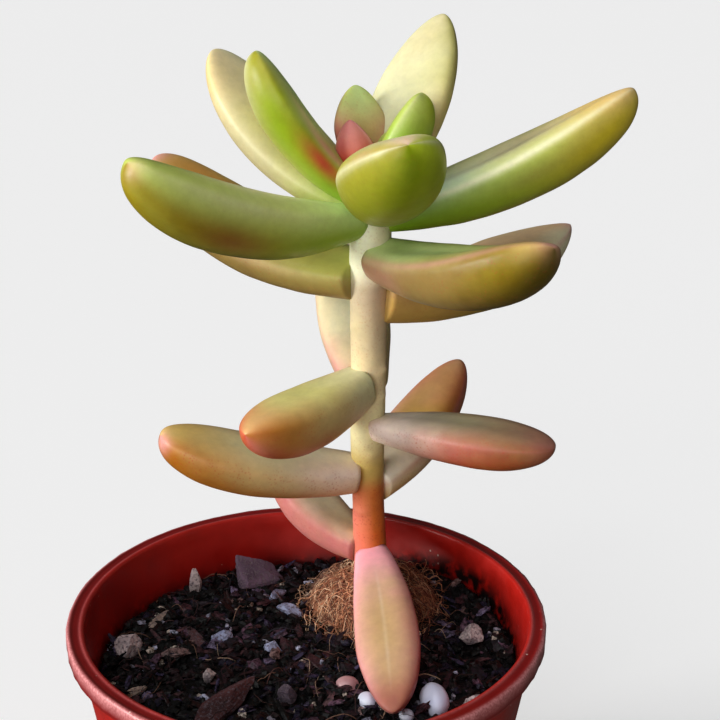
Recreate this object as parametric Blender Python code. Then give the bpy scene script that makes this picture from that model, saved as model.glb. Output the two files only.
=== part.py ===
"""A potted coppertone stonecrop: one leafy stem in a small round plastic nursery pot.

Units are metres and +Z is up. The origin is the middle of the pot's underside, which stands
on the surface. The plant is looked at from -Y, with +X to the right.

The pot is filled with a peaty mix in which a plug of fibre holds the stem. The leaves are
solid and waxy: each starts on the stem's centre line, clasps the stem, and is pressed
against its neighbours where the rosette is crowded.
"""

from dataclasses import dataclass
from math import cos, pi, radians, sin, tau

import bmesh
import bpy
import numpy as np
from mathutils import Matrix, Vector, noise

MM = 0.001
GAP = 0.3 * MM  # what touching pieces keep between them

# The pot: a tapered wall with a flat lip turned outwards round its mouth.
POT_HEIGHT = 52 * MM
RIM_RADIUS = 32.5 * MM
RIM_DEPTH = 2.6 * MM
RIM_INSIDE = 30.6 * MM
RIM_ROUND = 0.4 * MM
RIM_STEP = 0.6 * MM  # from the lip down to the top of the inner wall
WALL_TOP_RADIUS = 31 * MM
BASE_RADIUS = 22.5 * MM
WALL = 1.1 * MM
FLOOR = 1.6 * MM
BASE_CHAMFER = 0.8 * MM
POT_SIDES = 72
DRAIN_HOLES = 4
DRAIN_RADIUS = 2.5 * MM
DRAIN_CIRCLE = 13 * MM
DRAIN_SIDES = 20

# The mix in the pot, and the fibre plug that the cutting was rooted in.
SOIL_LEVEL = 43.8 * MM
SOIL_RELIEF = 1.3 * MM
CLOD = 2.8 * MM
SOIL_EDGE_DROP = 0.6 * MM
SOIL_RINGS = 13
SOIL_SIDES = 48
PLUG_PLACE = (9 * MM, 15.2 * MM)
PLUG_RADIUS = 9.6 * MM
PLUG_FOOT_RADIUS = 6.5 * MM
PLUG_DEPTH = 16 * MM
PLUG_RISE = 4 * MM
PLUG_SIDES = 24

# The stem: (height, x, y, radius) in millimetres, from its foot in the plug to its tip.
STEM = (
    (32, 9.4, 16.5, 2.4),
    (46, 9.1, 16.0, 2.6),
    (56, 8.5, 15.0, 2.35),
    (64, 8.2, 14.2, 2.25),
    (72, 8.1, 13.2, 2.4),
    (84, 8.2, 11.6, 2.45),
    (94, 8.1, 10.4, 2.5),
    (101, 8.3, 9.6, 2.8),
    (106, 8.5, 9.3, 2.4),
    (109, 8.4, 9.2, 1.4),
)
STEM_RINGS = 24
STEM_SIDES = 14

LEAF_RINGS = 11
LEAF_SIDES = 14
MIDRIB_STEPS = 120  # along a leaf's midrib, from which its rings are picked
NECK_THICKER = 0.15  # by which the neck's share of the thickness passes that of the width
FLAT_SHARE = 0.32  # of a leaf's thickness, the part above its edges
ROOT_OUT = 1.6 * MM  # how far from the stem's centre line a leaf's body starts

GREEN = (0.36, 0.46, 0.13)
CREAM = (0.66, 0.62, 0.36)
COPPER = (0.50, 0.27, 0.12)
ROSE = (0.62, 0.30, 0.22)


@dataclass
class Leaf:
    """One leaf, in millimetres and degrees.

    height is where its midrib starts on the stem's centre line. heading is the compass
    course there, 0 towards +X and 90 towards +Y, and it has turned by swing at the tip.
    pitch is the midrib's rise at the root and at the tip. roll turns the blade about it at
    the tip, and twist is how much more it is turned at the root. tip is 1.6 for a pointed
    end and 2.2 for a blunt one. widest is how far along the blade is widest, and neck is the
    root's share of that width.
    """

    colour: tuple
    height: float
    heading: float
    pitch: tuple
    length: float
    width: float
    thickness: float
    swing: float = 0
    roll: float = 0
    tip: float = 2.0
    widest: float = 0.55
    neck: float = 0.5
    twist: float = 0


# From the crown outwards: each leaf gives way to the ones before it where they press.
LEAVES = {
    "leaf_crown_inner": Leaf(GREEN, 108.3, 345, (60, 63), 13.7, 9, 5.5, tip=2.2),
    "leaf_crown_front": Leaf(GREEN, 108, 277, (16, 24), 25.5, 13, 9.5, 4, 11, 1.8, 0.6),
    "leaf_crown_left": Leaf(GREEN, 106.4, 187.5, (40.5, 63), 24.4, 10, 6.2, 6, -8, 1.95, 0.64),
    "leaf_crown_back_right": Leaf(CREAM, 106, 52.5, (60, 56), 27.9, 11.9, 6.3, -4.5, 1, 1.7, 0.53),
    "leaf_crown_back_left": Leaf(CREAM, 105.3, 158.5, (28, 52.5), 30.7, 12.5, 6.7, -5, -16, 1.85, 0.51),
    "leaf_crown_right": Leaf(GREEN, 104.7, 7, (14, 34), 38.5, 12.1, 8.6, 4, -13, 2.1, 0.57, 0.34, 25),
    "leaf_crown_far_left": Leaf(GREEN, 104.8, 206, (-3, 33), 35.5, 11.2, 9.2, 14, -2, 2.2, 0.57, 0.3, 4),
    "leaf_collar_right": Leaf(COPPER, 99.6, 313.5, (-6, 25.5), 31.2, 11.4, 8.2, 0, -14, 2.0, 0.62, 0.48, 36),
    "leaf_collar_back_left": Leaf(COPPER, 96.5, 147, (0, 40), 38.7, 13.2, 8.3, 6, -14, 2.0, 0.6, 0.55),
    "leaf_collar_back_right": Leaf(COPPER, 93.8, 32, (-4, 24), 35, 12.3, 9, -5, 1, 1.55, 0.62, 0.55),
    "leaf_middle_front_left": Leaf(CREAM, 81.5, 220, (-16, 2), 23, 10.5, 8.5, 12, 3, 1.8, 0.6),
    "leaf_middle_back": Leaf(CREAM, 79, 101, (27, 62), 29, 10.5, 7.5, 2, 0, 2.2, 0.5),
    "leaf_middle_right": Leaf(ROSE, 74, 331, (7, -1), 28, 11, 6.5, 0, 0, 2.0, 0.6, 0.4),
    "leaf_middle_left": Leaf(COPPER, 66.5, 191, (5, 24), 30.5, 11, 7.8, 5, -9, 2.2, 0.6),
    "leaf_low_back_right": Leaf(ROSE, 63.5, 57, (17, 40), 28, 10, 8, -8, 2, 1.8, 0.5),
    "leaf_low_back_left": Leaf(ROSE, 53.5, 142, (8, 55), 24, 9, 7, -2, 0, 1.8, 0.5),
    "leaf_low_front": Leaf(ROSE, 53.5, 279, (-10, -15), 33, 8.8, 6, -8, 14, 1.8, 0.6),
}

# The bud at the tip of the stem: small leaves folded together, grown as one.
BUD = (
    Leaf(ROSE, 107.5, 111, (64, 68), 14.5, 7.5, 4.5, 3, 0, 1.6, 0.6, 0.7),
    Leaf(ROSE, 108, 225, (62, 70), 10, 6, 4, 0, 0, 1.5, 0.6, 0.6),
    Leaf(ROSE, 108, 20, (70, 76), 7.5, 4.5, 3, 0, 0, 1.8, 0.6, 0.6),
    Leaf(ROSE, 108, 160, (74, 80), 7, 4, 2.8, 0, 0, 1.8, 0.6, 0.6),
)


@dataclass
class Stone:
    """A stone or a chip of bark lying in the mix.

    Its place and its length, width and height are in millimetres, and turn and lean in
    degrees: turn is its length's course, and lean lifts its far side. rough is how far its
    skin departs from a smooth ellipsoid.
    """

    colour: tuple
    place: tuple
    size: tuple
    turn: float = 0
    lean: float = 0
    rough: float = 0.25


PUMICE = (0.52, 0.46, 0.40)
PERLITE = (0.62, 0.66, 0.78)
BARK = (0.16, 0.07, 0.05)
GREY_BARK = (0.20, 0.17, 0.20)

STONES = {
    "pumice_left": Stone(PUMICE, (-25, 0.5), (4.8, 4.2, 3.8), 60),
    "pumice_right": Stone(PUMICE, (23.2, 4.8), (3.7, 3.6, 3.2), 70),
    "pumice_front_right": Stone(PUMICE, (22.2, -12.6), (4.4, 3.4, 2.8), 30),
    "pumice_small": Stone(PUMICE, (-13.3, -5.4), (2.2, 2.0, 2.2), 0),
    "pumice_grey": Stone(GREY_BARK, (-2.4, -10.1), (3.4, 3.0, 2.8), 10),
    "perlite_left": Stone(PERLITE, (-12.6, 3.6), (4.0, 3.0, 2.8), 10),
    "perlite_middle": Stone(PERLITE, (-3.2, 11.2), (4.6, 3.2, 2.8), -25),
    "perlite_back": Stone(PERLITE, (-5.6, 16.4), (4.8, 1.9, 2.2), 57),
    "perlite_front": Stone(PERLITE, (-5.2, 1.6), (3.0, 2.6, 2.6), 0),
    "perlite_upright": Stone(PERLITE, (-18.2, 18.4), (2.2, 1.9, 6.2), 0),
    "pebble_front": Stone(PERLITE, (16.8, -12), (3.7, 5.6, 4.8), 15, 0, 0.12),
    "pebble_small": Stone(PERLITE, (13.2, -14.4), (2.0, 2.0, 1.8), 20, 0, 0.08),
    "pebble_under_leaf": Stone(PERLITE, (8.2, -11.2), (3.0, 2.4, 2.2), 120, 0, 0.08),
    "pebble_pink": Stone(PUMICE, (5.6, -7.8), (3.2, 2.8, 2.6), 150, 0, 0.08),
    "bark_flake_back": Stone(GREY_BARK, (-9.2, 20.9), (8.6, 7.0, 1.6), 28, 30, 0.3),
    "bark_chunk_front": Stone(BARK, (-9.9, -11.6), (15, 4.8, 3.2), 66, 0, 0.3),
    "bark_chip_brown": Stone(BARK, (-16.2, 4), (8.0, 1.9, 1.7), -68, 0, 0.3),
    "bark_chip_pale": Stone(PUMICE, (-22.4, 8.7), (7.6, 1.6, 1.6), 64, 0, 0.3),
    "bark_chip_left": Stone(PUMICE, (-23.2, -9.8), (6.2, 1.6, 1.5), 46, 0, 0.3),
}
STONE_SINK = 0.3  # share of a stone's height that lies under the surface
STONE_LUMPS = 1.7  # of the skin, along half of a stone
POCKET_EASE = 1.15  # a stone's pocket is flat between its points, so these stand further out


def clear_scene():
    for item in list(bpy.data.objects):
        bpy.data.objects.remove(item, do_unlink=True)


def give_material(item, colour, roughness):
    """Gives an object its own plain material."""
    skin = bpy.data.materials.new(item.name)
    skin.use_nodes = True
    shader = skin.node_tree.nodes["Principled BSDF"]
    shader.inputs["Base Color"].default_value = (*colour, 1)
    shader.inputs["Roughness"].default_value = roughness
    shader.inputs["Metallic"].default_value = 0
    item.data.materials.clear()
    item.data.materials.append(skin)


def mesh_object(name, points, faces):
    mesh = bpy.data.meshes.new(name)
    mesh.from_pydata([tuple(point) for point in points], [], faces)
    mesh.shade_smooth()
    item = bpy.data.objects.new(name, mesh)
    bpy.context.scene.collection.objects.link(item)
    return item


def loft(name, rings, first, last):
    """A closed body through rings of points, with a fan from each end ring to its middle point.

    The rings run right-handed about the way from first to last, so that faces point outwards.
    """
    count, sides = rings.shape[:2]
    points = [*rings.reshape(-1, 3), first, last]
    faces = []
    for ring in range(count - 1):
        for side in range(sides):
            a = ring * sides + side
            b = ring * sides + (side + 1) % sides
            faces.append((a, b, b + sides, a + sides))
    end = (count - 1) * sides
    for side in range(sides):
        following = (side + 1) % sides
        faces.append((len(points) - 2, following, side))
        faces.append((len(points) - 1, end + side, end + following))
    return mesh_object(name, points, faces)


def turned(name, profile, sides):
    """A body turned about Z from a profile of (radius, height), listed up the outside.

    The profile starts and ends on the axis, at points that only give their heights.
    """
    angles = np.linspace(0, tau, sides, endpoint=False)
    circle = np.stack([np.cos(angles), np.sin(angles)], -1)
    rings = np.empty((len(profile) - 2, sides, 3))
    for ring, (radius, height) in zip(rings, profile[1:-1]):
        ring[:, :2] = radius * circle
        ring[:, 2] = height
    return loft(name, rings, (0, 0, profile[0][1]), (0, 0, profile[-1][1]))


def combine(target, others, operation):
    """Joins other objects to the target, or cuts them from it, and removes them."""
    tools = bpy.data.collections.new("tools")
    for other in others:
        tools.objects.link(other)
    modifier = target.modifiers.new("Combine", "BOOLEAN")
    modifier.operation = operation
    modifier.operand_type = "COLLECTION"
    modifier.collection = tools
    modifier.solver = "EXACT"
    graph = bpy.context.evaluated_depsgraph_get()
    result = bpy.data.meshes.new_from_object(target.evaluated_get(graph))
    target.modifiers.clear()
    target.data = result
    for other in others:
        bpy.data.objects.remove(other, do_unlink=True)
    bpy.data.collections.remove(tools)
    keep_largest_body(target)


def keep_largest_body(item):
    """Drops the loose scraps that a cut can leave beside the main body."""
    shape = bmesh.new()
    shape.from_mesh(item.data)
    bmesh.ops.dissolve_degenerate(shape, dist=0.01 * MM, edges=shape.edges)
    waiting = set(shape.verts)
    bodies = []
    while waiting:
        body = set()
        reached = {waiting.pop()}
        while reached:
            point = reached.pop()
            body.add(point)
            reached |= {edge.other_vert(point) for edge in point.link_edges} - body
        waiting -= body
        bodies.append(body)
    largest = max(bodies, key=len)
    scraps = [point for point in shape.verts if point not in largest]
    bmesh.ops.delete(shape, geom=scraps, context="VERTS")
    shape.to_mesh(item.data)
    shape.free()


def stem_point(height):
    """The stem's centre at a height, with its radius there, all in metres."""
    heights, x, y, radius = np.array(STEM).T * MM
    return (
        np.array([np.interp(height, heights, x), np.interp(height, heights, y), height]),
        np.interp(height, heights, radius),
    )


def stem(name, grow=0.0):
    """The stem, thicker by grow and longer by it at each end."""
    foot = STEM[0][0] * MM - grow
    top = STEM[-1][0] * MM + grow
    angles = np.linspace(0, tau, STEM_SIDES, endpoint=False)
    rings = []
    for height in np.linspace(foot, top, STEM_RINGS):
        middle, radius = stem_point(height)
        out = np.stack([np.cos(angles), np.sin(angles), 0 * angles], -1)
        rings.append(middle + (radius + grow) * out)
    tip_rise = np.array([0, 0, 0.5 * MM])
    return loft(name, np.array(rings), stem_point(foot)[0], stem_point(top)[0] + tip_rise)


def leaf(name, shape, grow=0.0):
    """A leaf along its curved midrib, thicker all round by grow.

    Its width swells from the neck to the widest place as a quarter sine and closes to the tip
    as a superellipse. The section is a shallow half ellipse above the edges and a deep one
    below them.
    """
    steps = np.linspace(0, 1, MIDRIB_STEPS + 1)
    heading = np.radians(shape.heading + shape.swing * steps)
    pitch = np.radians(shape.pitch[0] + (shape.pitch[1] - shape.pitch[0]) * steps)
    level = np.cos(pitch)
    along = np.stack([level * np.cos(heading), level * np.sin(heading), np.sin(pitch)], -1)
    across = np.stack([-np.sin(heading), np.cos(heading), 0 * heading], -1)
    upward = np.cross(along, across)
    walked = np.cumsum((along[1:] + along[:-1]) / 2, axis=0) * shape.length * MM / MIDRIB_STEPS
    midrib = stem_point(shape.height * MM)[0] + np.vstack([np.zeros(3), walked])

    root = (ROOT_OUT - grow) / (shape.length * MM)
    places = 1 - (1 - root) * (1 - np.arange(LEAF_RINGS) / LEAF_RINGS) ** 1.6
    before = np.sin(pi / 2 * np.clip(places / shape.widest, 0, 1))
    after = np.clip((places - shape.widest) / (1 - shape.widest), 0, 1)
    closing = (1 - after**shape.tip) ** (1 / shape.tip)
    half_width = shape.width / 2 * MM * (shape.neck + (1 - shape.neck) * before) * closing + grow
    thick_neck = shape.neck + NECK_THICKER
    depth = shape.thickness * MM * (thick_neck + (1 - thick_neck) * before) * closing

    index = np.round(places * MIDRIB_STEPS).astype(int)
    roll = np.radians(shape.roll + shape.twist * (1 - places))[:, None]
    side = across[index] * np.cos(roll) + upward[index] * np.sin(roll)
    face = upward[index] * np.cos(roll) - across[index] * np.sin(roll)
    angles = np.linspace(0, tau, LEAF_SIDES, endpoint=False)
    share = np.where(np.sin(angles) > 0, FLAT_SHARE, 1 - FLAT_SHARE)
    sideways = half_width[:, None] * np.cos(angles)
    upwards = (share * depth[:, None] + grow) * np.sin(angles)
    rings = midrib[index][:, None] + sideways[..., None] * side[:, None]
    rings += upwards[..., None] * face[:, None]
    return loft(name, rings, midrib[index[0]], midrib[-1] + grow * along[-1])


def boxes_meet(first, second):
    a = np.array([point.co for point in first.data.vertices])
    b = np.array([point.co for point in second.data.vertices])
    apart = np.maximum(a.min(0) - b.max(0), b.min(0) - a.max(0))
    return apart.max() < 0


def make_plant():
    """The stem, the bud and the leaves, each cut clear of those that came before it."""
    give_material(stem("stem"), CREAM, 0.45)
    bud = leaf("bud", BUD[0])
    combine(bud, [leaf("fold", part) for part in BUD[1:]], "UNION")
    combine(bud, [stem("core", GAP)], "DIFFERENCE")
    give_material(bud, ROSE, 0.4)
    made = []
    for name, shape in LEAVES.items():
        blade = leaf(name, shape)
        cutters = [stem("core", GAP)]
        for pressed in (*BUD, *made):
            cutter = leaf("neighbour", pressed, GAP)
            if boxes_meet(blade, cutter):
                cutters.append(cutter)
            else:
                bpy.data.objects.remove(cutter, do_unlink=True)
        combine(blade, cutters, "DIFFERENCE")
        give_material(blade, shape.colour, 0.4)
        made.append(shape)


def wall_radius(height, inset=0.0):
    """The radius of the pot's tapered outer wall at a height, less an inset."""
    share = height / (POT_HEIGHT - RIM_DEPTH)
    return BASE_RADIUS + (WALL_TOP_RADIUS - BASE_RADIUS) * share - inset


def make_pot():
    """The pot, turned from its profile and drilled through its floor."""
    under_rim = POT_HEIGHT - RIM_DEPTH
    profile = (
        (0, 0),
        (wall_radius(0, BASE_CHAMFER), 0),
        (wall_radius(BASE_CHAMFER), BASE_CHAMFER),
        (wall_radius(under_rim), under_rim),
        (RIM_RADIUS - RIM_ROUND, under_rim),
        (RIM_RADIUS, under_rim + RIM_ROUND),
        (RIM_RADIUS, POT_HEIGHT - RIM_ROUND),
        (RIM_RADIUS - RIM_ROUND, POT_HEIGHT),
        (RIM_INSIDE, POT_HEIGHT),
        (wall_radius(POT_HEIGHT - RIM_STEP, WALL), POT_HEIGHT - RIM_STEP),
        (wall_radius(FLOOR, WALL), FLOOR),
        (0, FLOOR),
    )
    pot = turned("pot", profile, POT_SIDES)
    bit = ((0, -FLOOR), (DRAIN_RADIUS, -FLOOR), (DRAIN_RADIUS, 2 * FLOOR), (0, 2 * FLOOR))
    drills = []
    for hole in range(DRAIN_HOLES):
        angle = tau * (hole + 0.5) / DRAIN_HOLES
        drill = turned("drill", bit, DRAIN_SIDES)
        place = Vector((cos(angle), sin(angle), 0)) * DRAIN_CIRCLE
        drill.data.transform(Matrix.Translation(place))
        drills.append(drill)
    combine(pot, drills, "DIFFERENCE")
    pot.data.set_sharp_from_angle(angle=pi / 6)
    give_material(pot, (0.36, 0.04, 0.03), 0.4)


def clods(x, y):
    """The height of the rough surface of the mix above its level."""
    return SOIL_RELIEF * noise.fractal(Vector((x, y, 0)) / CLOD, 1.0, 2.0, 3)


def make_soil(stones):
    """The mix: it fills the pot to its level, with a socket for the plug and for each stone."""
    floor = FLOOR + GAP
    inset = WALL + GAP
    angles = np.linspace(0, tau, SOIL_SIDES, endpoint=False)
    circle = np.stack([np.cos(angles), np.sin(angles), 0 * angles], -1)
    edge = wall_radius(SOIL_LEVEL - SOIL_EDGE_DROP, inset)
    rings = [
        wall_radius(floor, inset) * circle + (0, 0, floor),
        edge * circle + (0, 0, SOIL_LEVEL - SOIL_EDGE_DROP),
    ]
    for share in np.arange(SOIL_RINGS - 1, 0, -1) / SOIL_RINGS:
        ring = edge * share * circle + (0, 0, SOIL_LEVEL)
        ring[:, 2] += [clods(x, y) for x, y, _ in ring]
        rings.append(ring)
    soil = loft("soil", np.array(rings), (0, 0, floor), (0, 0, SOIL_LEVEL))
    foot = SOIL_LEVEL - PLUG_DEPTH - GAP
    radius = PLUG_RADIUS + GAP
    profile = (
        (0, foot),
        (PLUG_FOOT_RADIUS + GAP, foot),
        (radius, SOIL_LEVEL - MM),
        (radius, POT_HEIGHT),
        (0, POT_HEIGHT),
    )
    socket = turned("socket", profile, PLUG_SIDES)
    socket.data.transform(Matrix.Translation((*PLUG_PLACE, 0)))
    combine(soil, [socket] + [stone("pocket", shape, GAP) for shape in stones], "DIFFERENCE")
    give_material(soil, (0.035, 0.02, 0.018), 0.9)


def make_plug():
    """The fibre plug: a round pad that stands proud of the mix, with a hole for the stem."""
    foot = SOIL_LEVEL - PLUG_DEPTH
    profile = [(0, foot), (PLUG_FOOT_RADIUS, foot), (PLUG_RADIUS, SOIL_LEVEL - MM)]
    for turn in np.radians((25, 45, 65, 82)):
        profile.append((PLUG_RADIUS * cos(turn), SOIL_LEVEL + PLUG_RISE * sin(turn)))
    profile.append((0, SOIL_LEVEL + PLUG_RISE))
    plug = turned("fibre_plug", profile, PLUG_SIDES)
    plug.data.transform(Matrix.Translation((*PLUG_PLACE, 0)))
    for point in plug.data.vertices:
        if point.co.z > SOIL_LEVEL:
            point.co.z += 0.5 * clods(point.co.x, point.co.y)
    combine(plug, [stem("core", GAP)], "DIFFERENCE")
    give_material(plug, (0.34, 0.20, 0.09), 0.95)


def stone(name, shape, grow=0.0):
    """A rough ellipsoid from a twice divided icosahedron, sunk in the mix by its share."""
    pebble = bmesh.new()
    bmesh.ops.create_icosphere(pebble, subdivisions=2, radius=1)
    half = Vector(shape.size) / 2 * MM
    place = Vector((*shape.place, 0)) * MM
    seed = Vector((*shape.place, 0))
    lean = radians(shape.lean)
    rise = half.y * sin(lean) + half.z * (1 - 2 * STONE_SINK)
    turn = Matrix.Rotation(radians(shape.turn), 3, "Z") @ Matrix.Rotation(lean, 3, "X")
    for point in pebble.verts:
        skin = 1 + shape.rough * noise.noise(point.co * STONE_LUMPS + seed)
        way = Vector(a * b * skin for a, b in zip(point.co, half))
        way += grow * POCKET_EASE * point.co
        point.co = turn @ way + place + Vector((0, 0, SOIL_LEVEL + rise))
    mesh = bpy.data.meshes.new(name)
    pebble.to_mesh(mesh)
    pebble.free()
    item = bpy.data.objects.new(name, mesh)
    bpy.context.scene.collection.objects.link(item)
    return item


def make_stones():
    for name, shape in STONES.items():
        give_material(stone(name, shape), shape.colour, 0.85)


clear_scene()
make_pot()
make_plug()
make_stones()
make_soil(STONES.values())
make_plant()
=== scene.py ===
from dataclasses import dataclass
from math import radians, tau

import bpy
import numpy as np
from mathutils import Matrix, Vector


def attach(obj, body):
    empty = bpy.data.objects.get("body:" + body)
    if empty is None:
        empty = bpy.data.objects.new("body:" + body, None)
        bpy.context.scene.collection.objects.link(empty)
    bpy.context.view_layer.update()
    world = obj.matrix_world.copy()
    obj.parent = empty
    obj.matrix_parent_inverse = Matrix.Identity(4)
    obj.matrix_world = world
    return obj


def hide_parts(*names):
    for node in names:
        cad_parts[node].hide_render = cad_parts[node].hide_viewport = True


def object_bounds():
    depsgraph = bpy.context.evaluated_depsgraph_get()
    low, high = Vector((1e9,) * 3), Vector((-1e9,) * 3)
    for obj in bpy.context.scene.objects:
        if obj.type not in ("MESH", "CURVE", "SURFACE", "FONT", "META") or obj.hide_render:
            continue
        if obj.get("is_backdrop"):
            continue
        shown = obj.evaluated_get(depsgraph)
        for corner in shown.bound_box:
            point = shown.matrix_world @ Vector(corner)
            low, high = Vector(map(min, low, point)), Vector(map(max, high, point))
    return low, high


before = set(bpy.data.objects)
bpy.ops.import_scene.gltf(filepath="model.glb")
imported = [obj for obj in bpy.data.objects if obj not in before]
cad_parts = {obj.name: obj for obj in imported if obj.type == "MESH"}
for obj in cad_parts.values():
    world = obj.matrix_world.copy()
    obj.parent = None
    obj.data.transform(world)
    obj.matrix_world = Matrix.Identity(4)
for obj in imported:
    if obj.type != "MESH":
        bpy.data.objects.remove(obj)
cad_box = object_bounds()

# The view: the plant stands a hand's breadth from a short lens, which looks down at it a
# little, so that the far side of the pot's mouth shows past the soil.
CAMERA_PLACE = (0.007, -0.147, 0.134)
CAMERA_TILT = radians(72.4)
CAMERA_ROLL = radians(0.3)
LENS = 60
FILM_WIDTH = 36
camera_data = bpy.data.cameras.new("camera")
camera_data.lens = LENS
camera_data.sensor_width = FILM_WIDTH
camera_data.clip_start = 0.01
camera = bpy.data.objects.new("camera", camera_data)
camera.location = CAMERA_PLACE
camera.rotation_euler = (CAMERA_TILT, 0, 0)
camera.rotation_euler.rotate_axis("Z", CAMERA_ROLL)
bpy.context.scene.collection.objects.link(camera)
bpy.context.scene.camera = camera

# The pot: a thin nursery pot, moulded in one shot from brick-red plastic. Its wall tapers to
# the foot, and its mouth has a flat lip turned outwards, whose moulded edge is a little ragged
# and pale pink, partly scuffed and partly a painted highlight; the lip's top is darker red as
# painted shade, and the inner wall is dark above the mix, partly dirt and partly painted shade.
# Four holes in the floor let the water out.
MM = 0.001
POT_HEIGHT = 52 * MM
RIM_RADIUS = 32.5 * MM
RIM_INSIDE = 30.6 * MM
RIM_DEPTH = 2.6 * MM
WALL_TOP_RADIUS = 31 * MM
BASE_RADIUS = 22.5 * MM
WALL = 1.1 * MM
FLOOR = 1.6 * MM
DRAIN_HOLES = 4
DRAIN_RADIUS = 2.5 * MM
DRAIN_CIRCLE = 13 * MM
POT_SIDES = 240
LIP_WAVES = 0.2 * MM
POT_SWAY = 0.12 * MM
# Dirt and painted shade on the inner wall: the height it starts from, and how far it climbs at the
# heap.
DIRT_AND_SHADE_LINE = 43.2 * MM
DIRT_AND_SHADE_RISE = 4.6 * MM
HEAP_COURSE = radians(38)
HEAP_REACH = radians(34)
DEEP_RED = (86, 9, 11)
BRIGHT_RED = (192, 33, 24)
# The deeper red of the painted shade on the lip's top, then the pink of the lip's edges, partly
# scuffs and partly painted highlight.
LIP_SHADE_RED = (92, 10, 16)
SCUFF_AND_HIGHLIGHT_PINK = (240, 160, 162)
DUST = (222, 190, 178)
# The dark of the inner wall above the mix, partly dirt and partly painted shade.
DIRT_AND_SHADE = (20, 9, 10)


def tint(red, green, blue):
    """A colour given by its everyday values from 0 to 255, as the light it sends back."""
    return (np.array([red, green, blue]) / 255) ** 2.2


def lumps(points, size, seed=0):
    """Smooth noise from -1 to 1.

    Each corner of a cubic lattice of that size draws a height, the fractional part of a large
    sine of its place, and a point blends its cell's eight corners by smoothstep weights.
    """
    cell = np.asarray(points) / size + 61.7 * (seed + 1)
    corner = np.floor(cell)
    part = cell - corner
    part = part * part * (3 - 2 * part)
    total = 0
    for number in range(8):
        step = np.array([number & 1, number >> 1 & 1, number >> 2])
        draw = np.sin((corner + step) @ np.array([12.9898, 78.233, 37.719])) * 43758.5453
        total = total + (draw % 1) * np.prod(np.where(step, part, 1 - part), axis=-1)
    return 2 * total - 1


def bell(distance, width):
    """1 where the distance is nought, and falling smoothly to 0 at about twice the width."""
    return np.exp(-((distance / width) ** 2))


def round_ring(sides):
    """Evenly spaced angles once round."""
    return np.linspace(0, tau, sides, endpoint=False)


def tube_faces(rings, around):
    """Faces and UVs of a closed tube whose points run ring by ring, then first and last pole.

    Point (i, j) joins (i, j + 1) and (i + 1, j), j wraps round, and each end ring fans to its
    pole. Seen along the rings' order, j runs right-handed, so that faces point outwards.
    """
    ring, side = np.meshgrid(np.arange(rings - 1), np.arange(around), indexing="ij")
    here = ring * around + side
    after = ring * around + (side + 1) % around
    quads = np.stack([here, after, after + around, here + around], -1).reshape(-1, 4)
    u, v = side / around, ring / (rings - 1)
    du, dv = 1 / around, 1 / (rings - 1)
    quad_uv = np.stack([u, v, u + du, v, u + du, v + dv, u, v + dv], -1).reshape(-1, 2)
    side = np.arange(around)
    end = (rings - 1) * around
    first = np.stack([0 * side + rings * around, (side + 1) % around, side], -1)
    last = np.stack([0 * side + rings * around + 1, end + side, end + (side + 1) % around], -1)
    middle, low, high = (side + 0.5) / around, side / around, (side + 1) / around
    first_uv = np.stack([middle, 0 * low, high, 0 * low, low, 0 * low], -1).reshape(-1, 2)
    last_uv = np.stack([middle, 0 * low + 1, low, 0 * low + 1, high, 0 * low + 1], -1)
    uv = np.concatenate([quad_uv, first_uv, last_uv.reshape(-1, 2)])
    return quads, np.concatenate([first, last]), uv


def with_poles(grid):
    """The points of (rings, around, n) grids, ring by ring, with the middles of their ends."""
    flat = grid.reshape(*grid.shape[:-3], -1, grid.shape[-1])
    first = grid[..., :1, :, :].mean(-2)
    last = grid[..., -1:, :, :].mean(-2)
    return np.concatenate([flat, first, last], axis=-2)


def make_piece(name, grids, finish, slot, stands_for=(), paint=None, masks=None):
    """An object of one or more closed tubes of alike grids, shaped (tubes, rings, around, 3).

    paint holds a colour for each point of the grids, and masks a number for each by name:
    they become the attributes that the finish reads.
    """
    tubes, rings, around = grids.shape[:3]
    points = with_poles(grids)
    quads, triangles, uv = tube_faces(rings, around)
    shift = np.arange(tubes)[:, None, None] * points.shape[1]
    quads = (quads + shift).reshape(-1, 4)
    triangles = (triangles + shift).reshape(-1, 3)
    quad_corners = 4 * (rings - 1) * around
    uv = [np.tile(part, (tubes, 1)) for part in (uv[:quad_corners], uv[quad_corners:])]
    uv = np.concatenate(uv)
    corners = np.concatenate([quads.ravel(), triangles.ravel()])
    triangle_starts = quads.size + 3 * np.arange(len(triangles))
    starts = np.concatenate([4 * np.arange(len(quads)), triangle_starts])
    mesh = bpy.data.meshes.new(name)
    mesh.vertices.add(points.size // 3)
    mesh.vertices.foreach_set("co", points.astype(np.float32).ravel())
    mesh.loops.add(len(corners))
    mesh.loops.foreach_set("vertex_index", corners.astype(np.int32))
    mesh.polygons.add(len(starts))
    mesh.polygons.foreach_set("loop_start", starts.astype(np.int32))
    mesh.update(calc_edges=True)
    mesh.uv_layers.new(name="UVMap").uv.foreach_set("vector", uv.astype(np.float32).ravel())
    if paint is not None:
        colours = with_poles(np.broadcast_to(paint, (*grids.shape[:3], 3))).reshape(-1, 3)
        colours = np.column_stack([colours, np.ones(len(colours))]).astype(np.float32)
        layer = mesh.attributes.new("paint", "FLOAT_COLOR", "POINT")
        layer.data.foreach_set("color", colours.ravel())
    for label, values in (masks or {}).items():
        values = with_poles(np.broadcast_to(values, grids.shape[:3])[..., None])
        layer = mesh.attributes.new(label, "FLOAT", "POINT")
        layer.data.foreach_set("value", values.astype(np.float32).ravel())
    mesh.shade_smooth()
    mesh.materials.append(finish)
    piece = bpy.data.objects.new(name, mesh)
    bpy.context.scene.collection.objects.link(piece)
    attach(piece, "root")
    if stands_for:
        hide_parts(*stands_for)
    return piece


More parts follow.
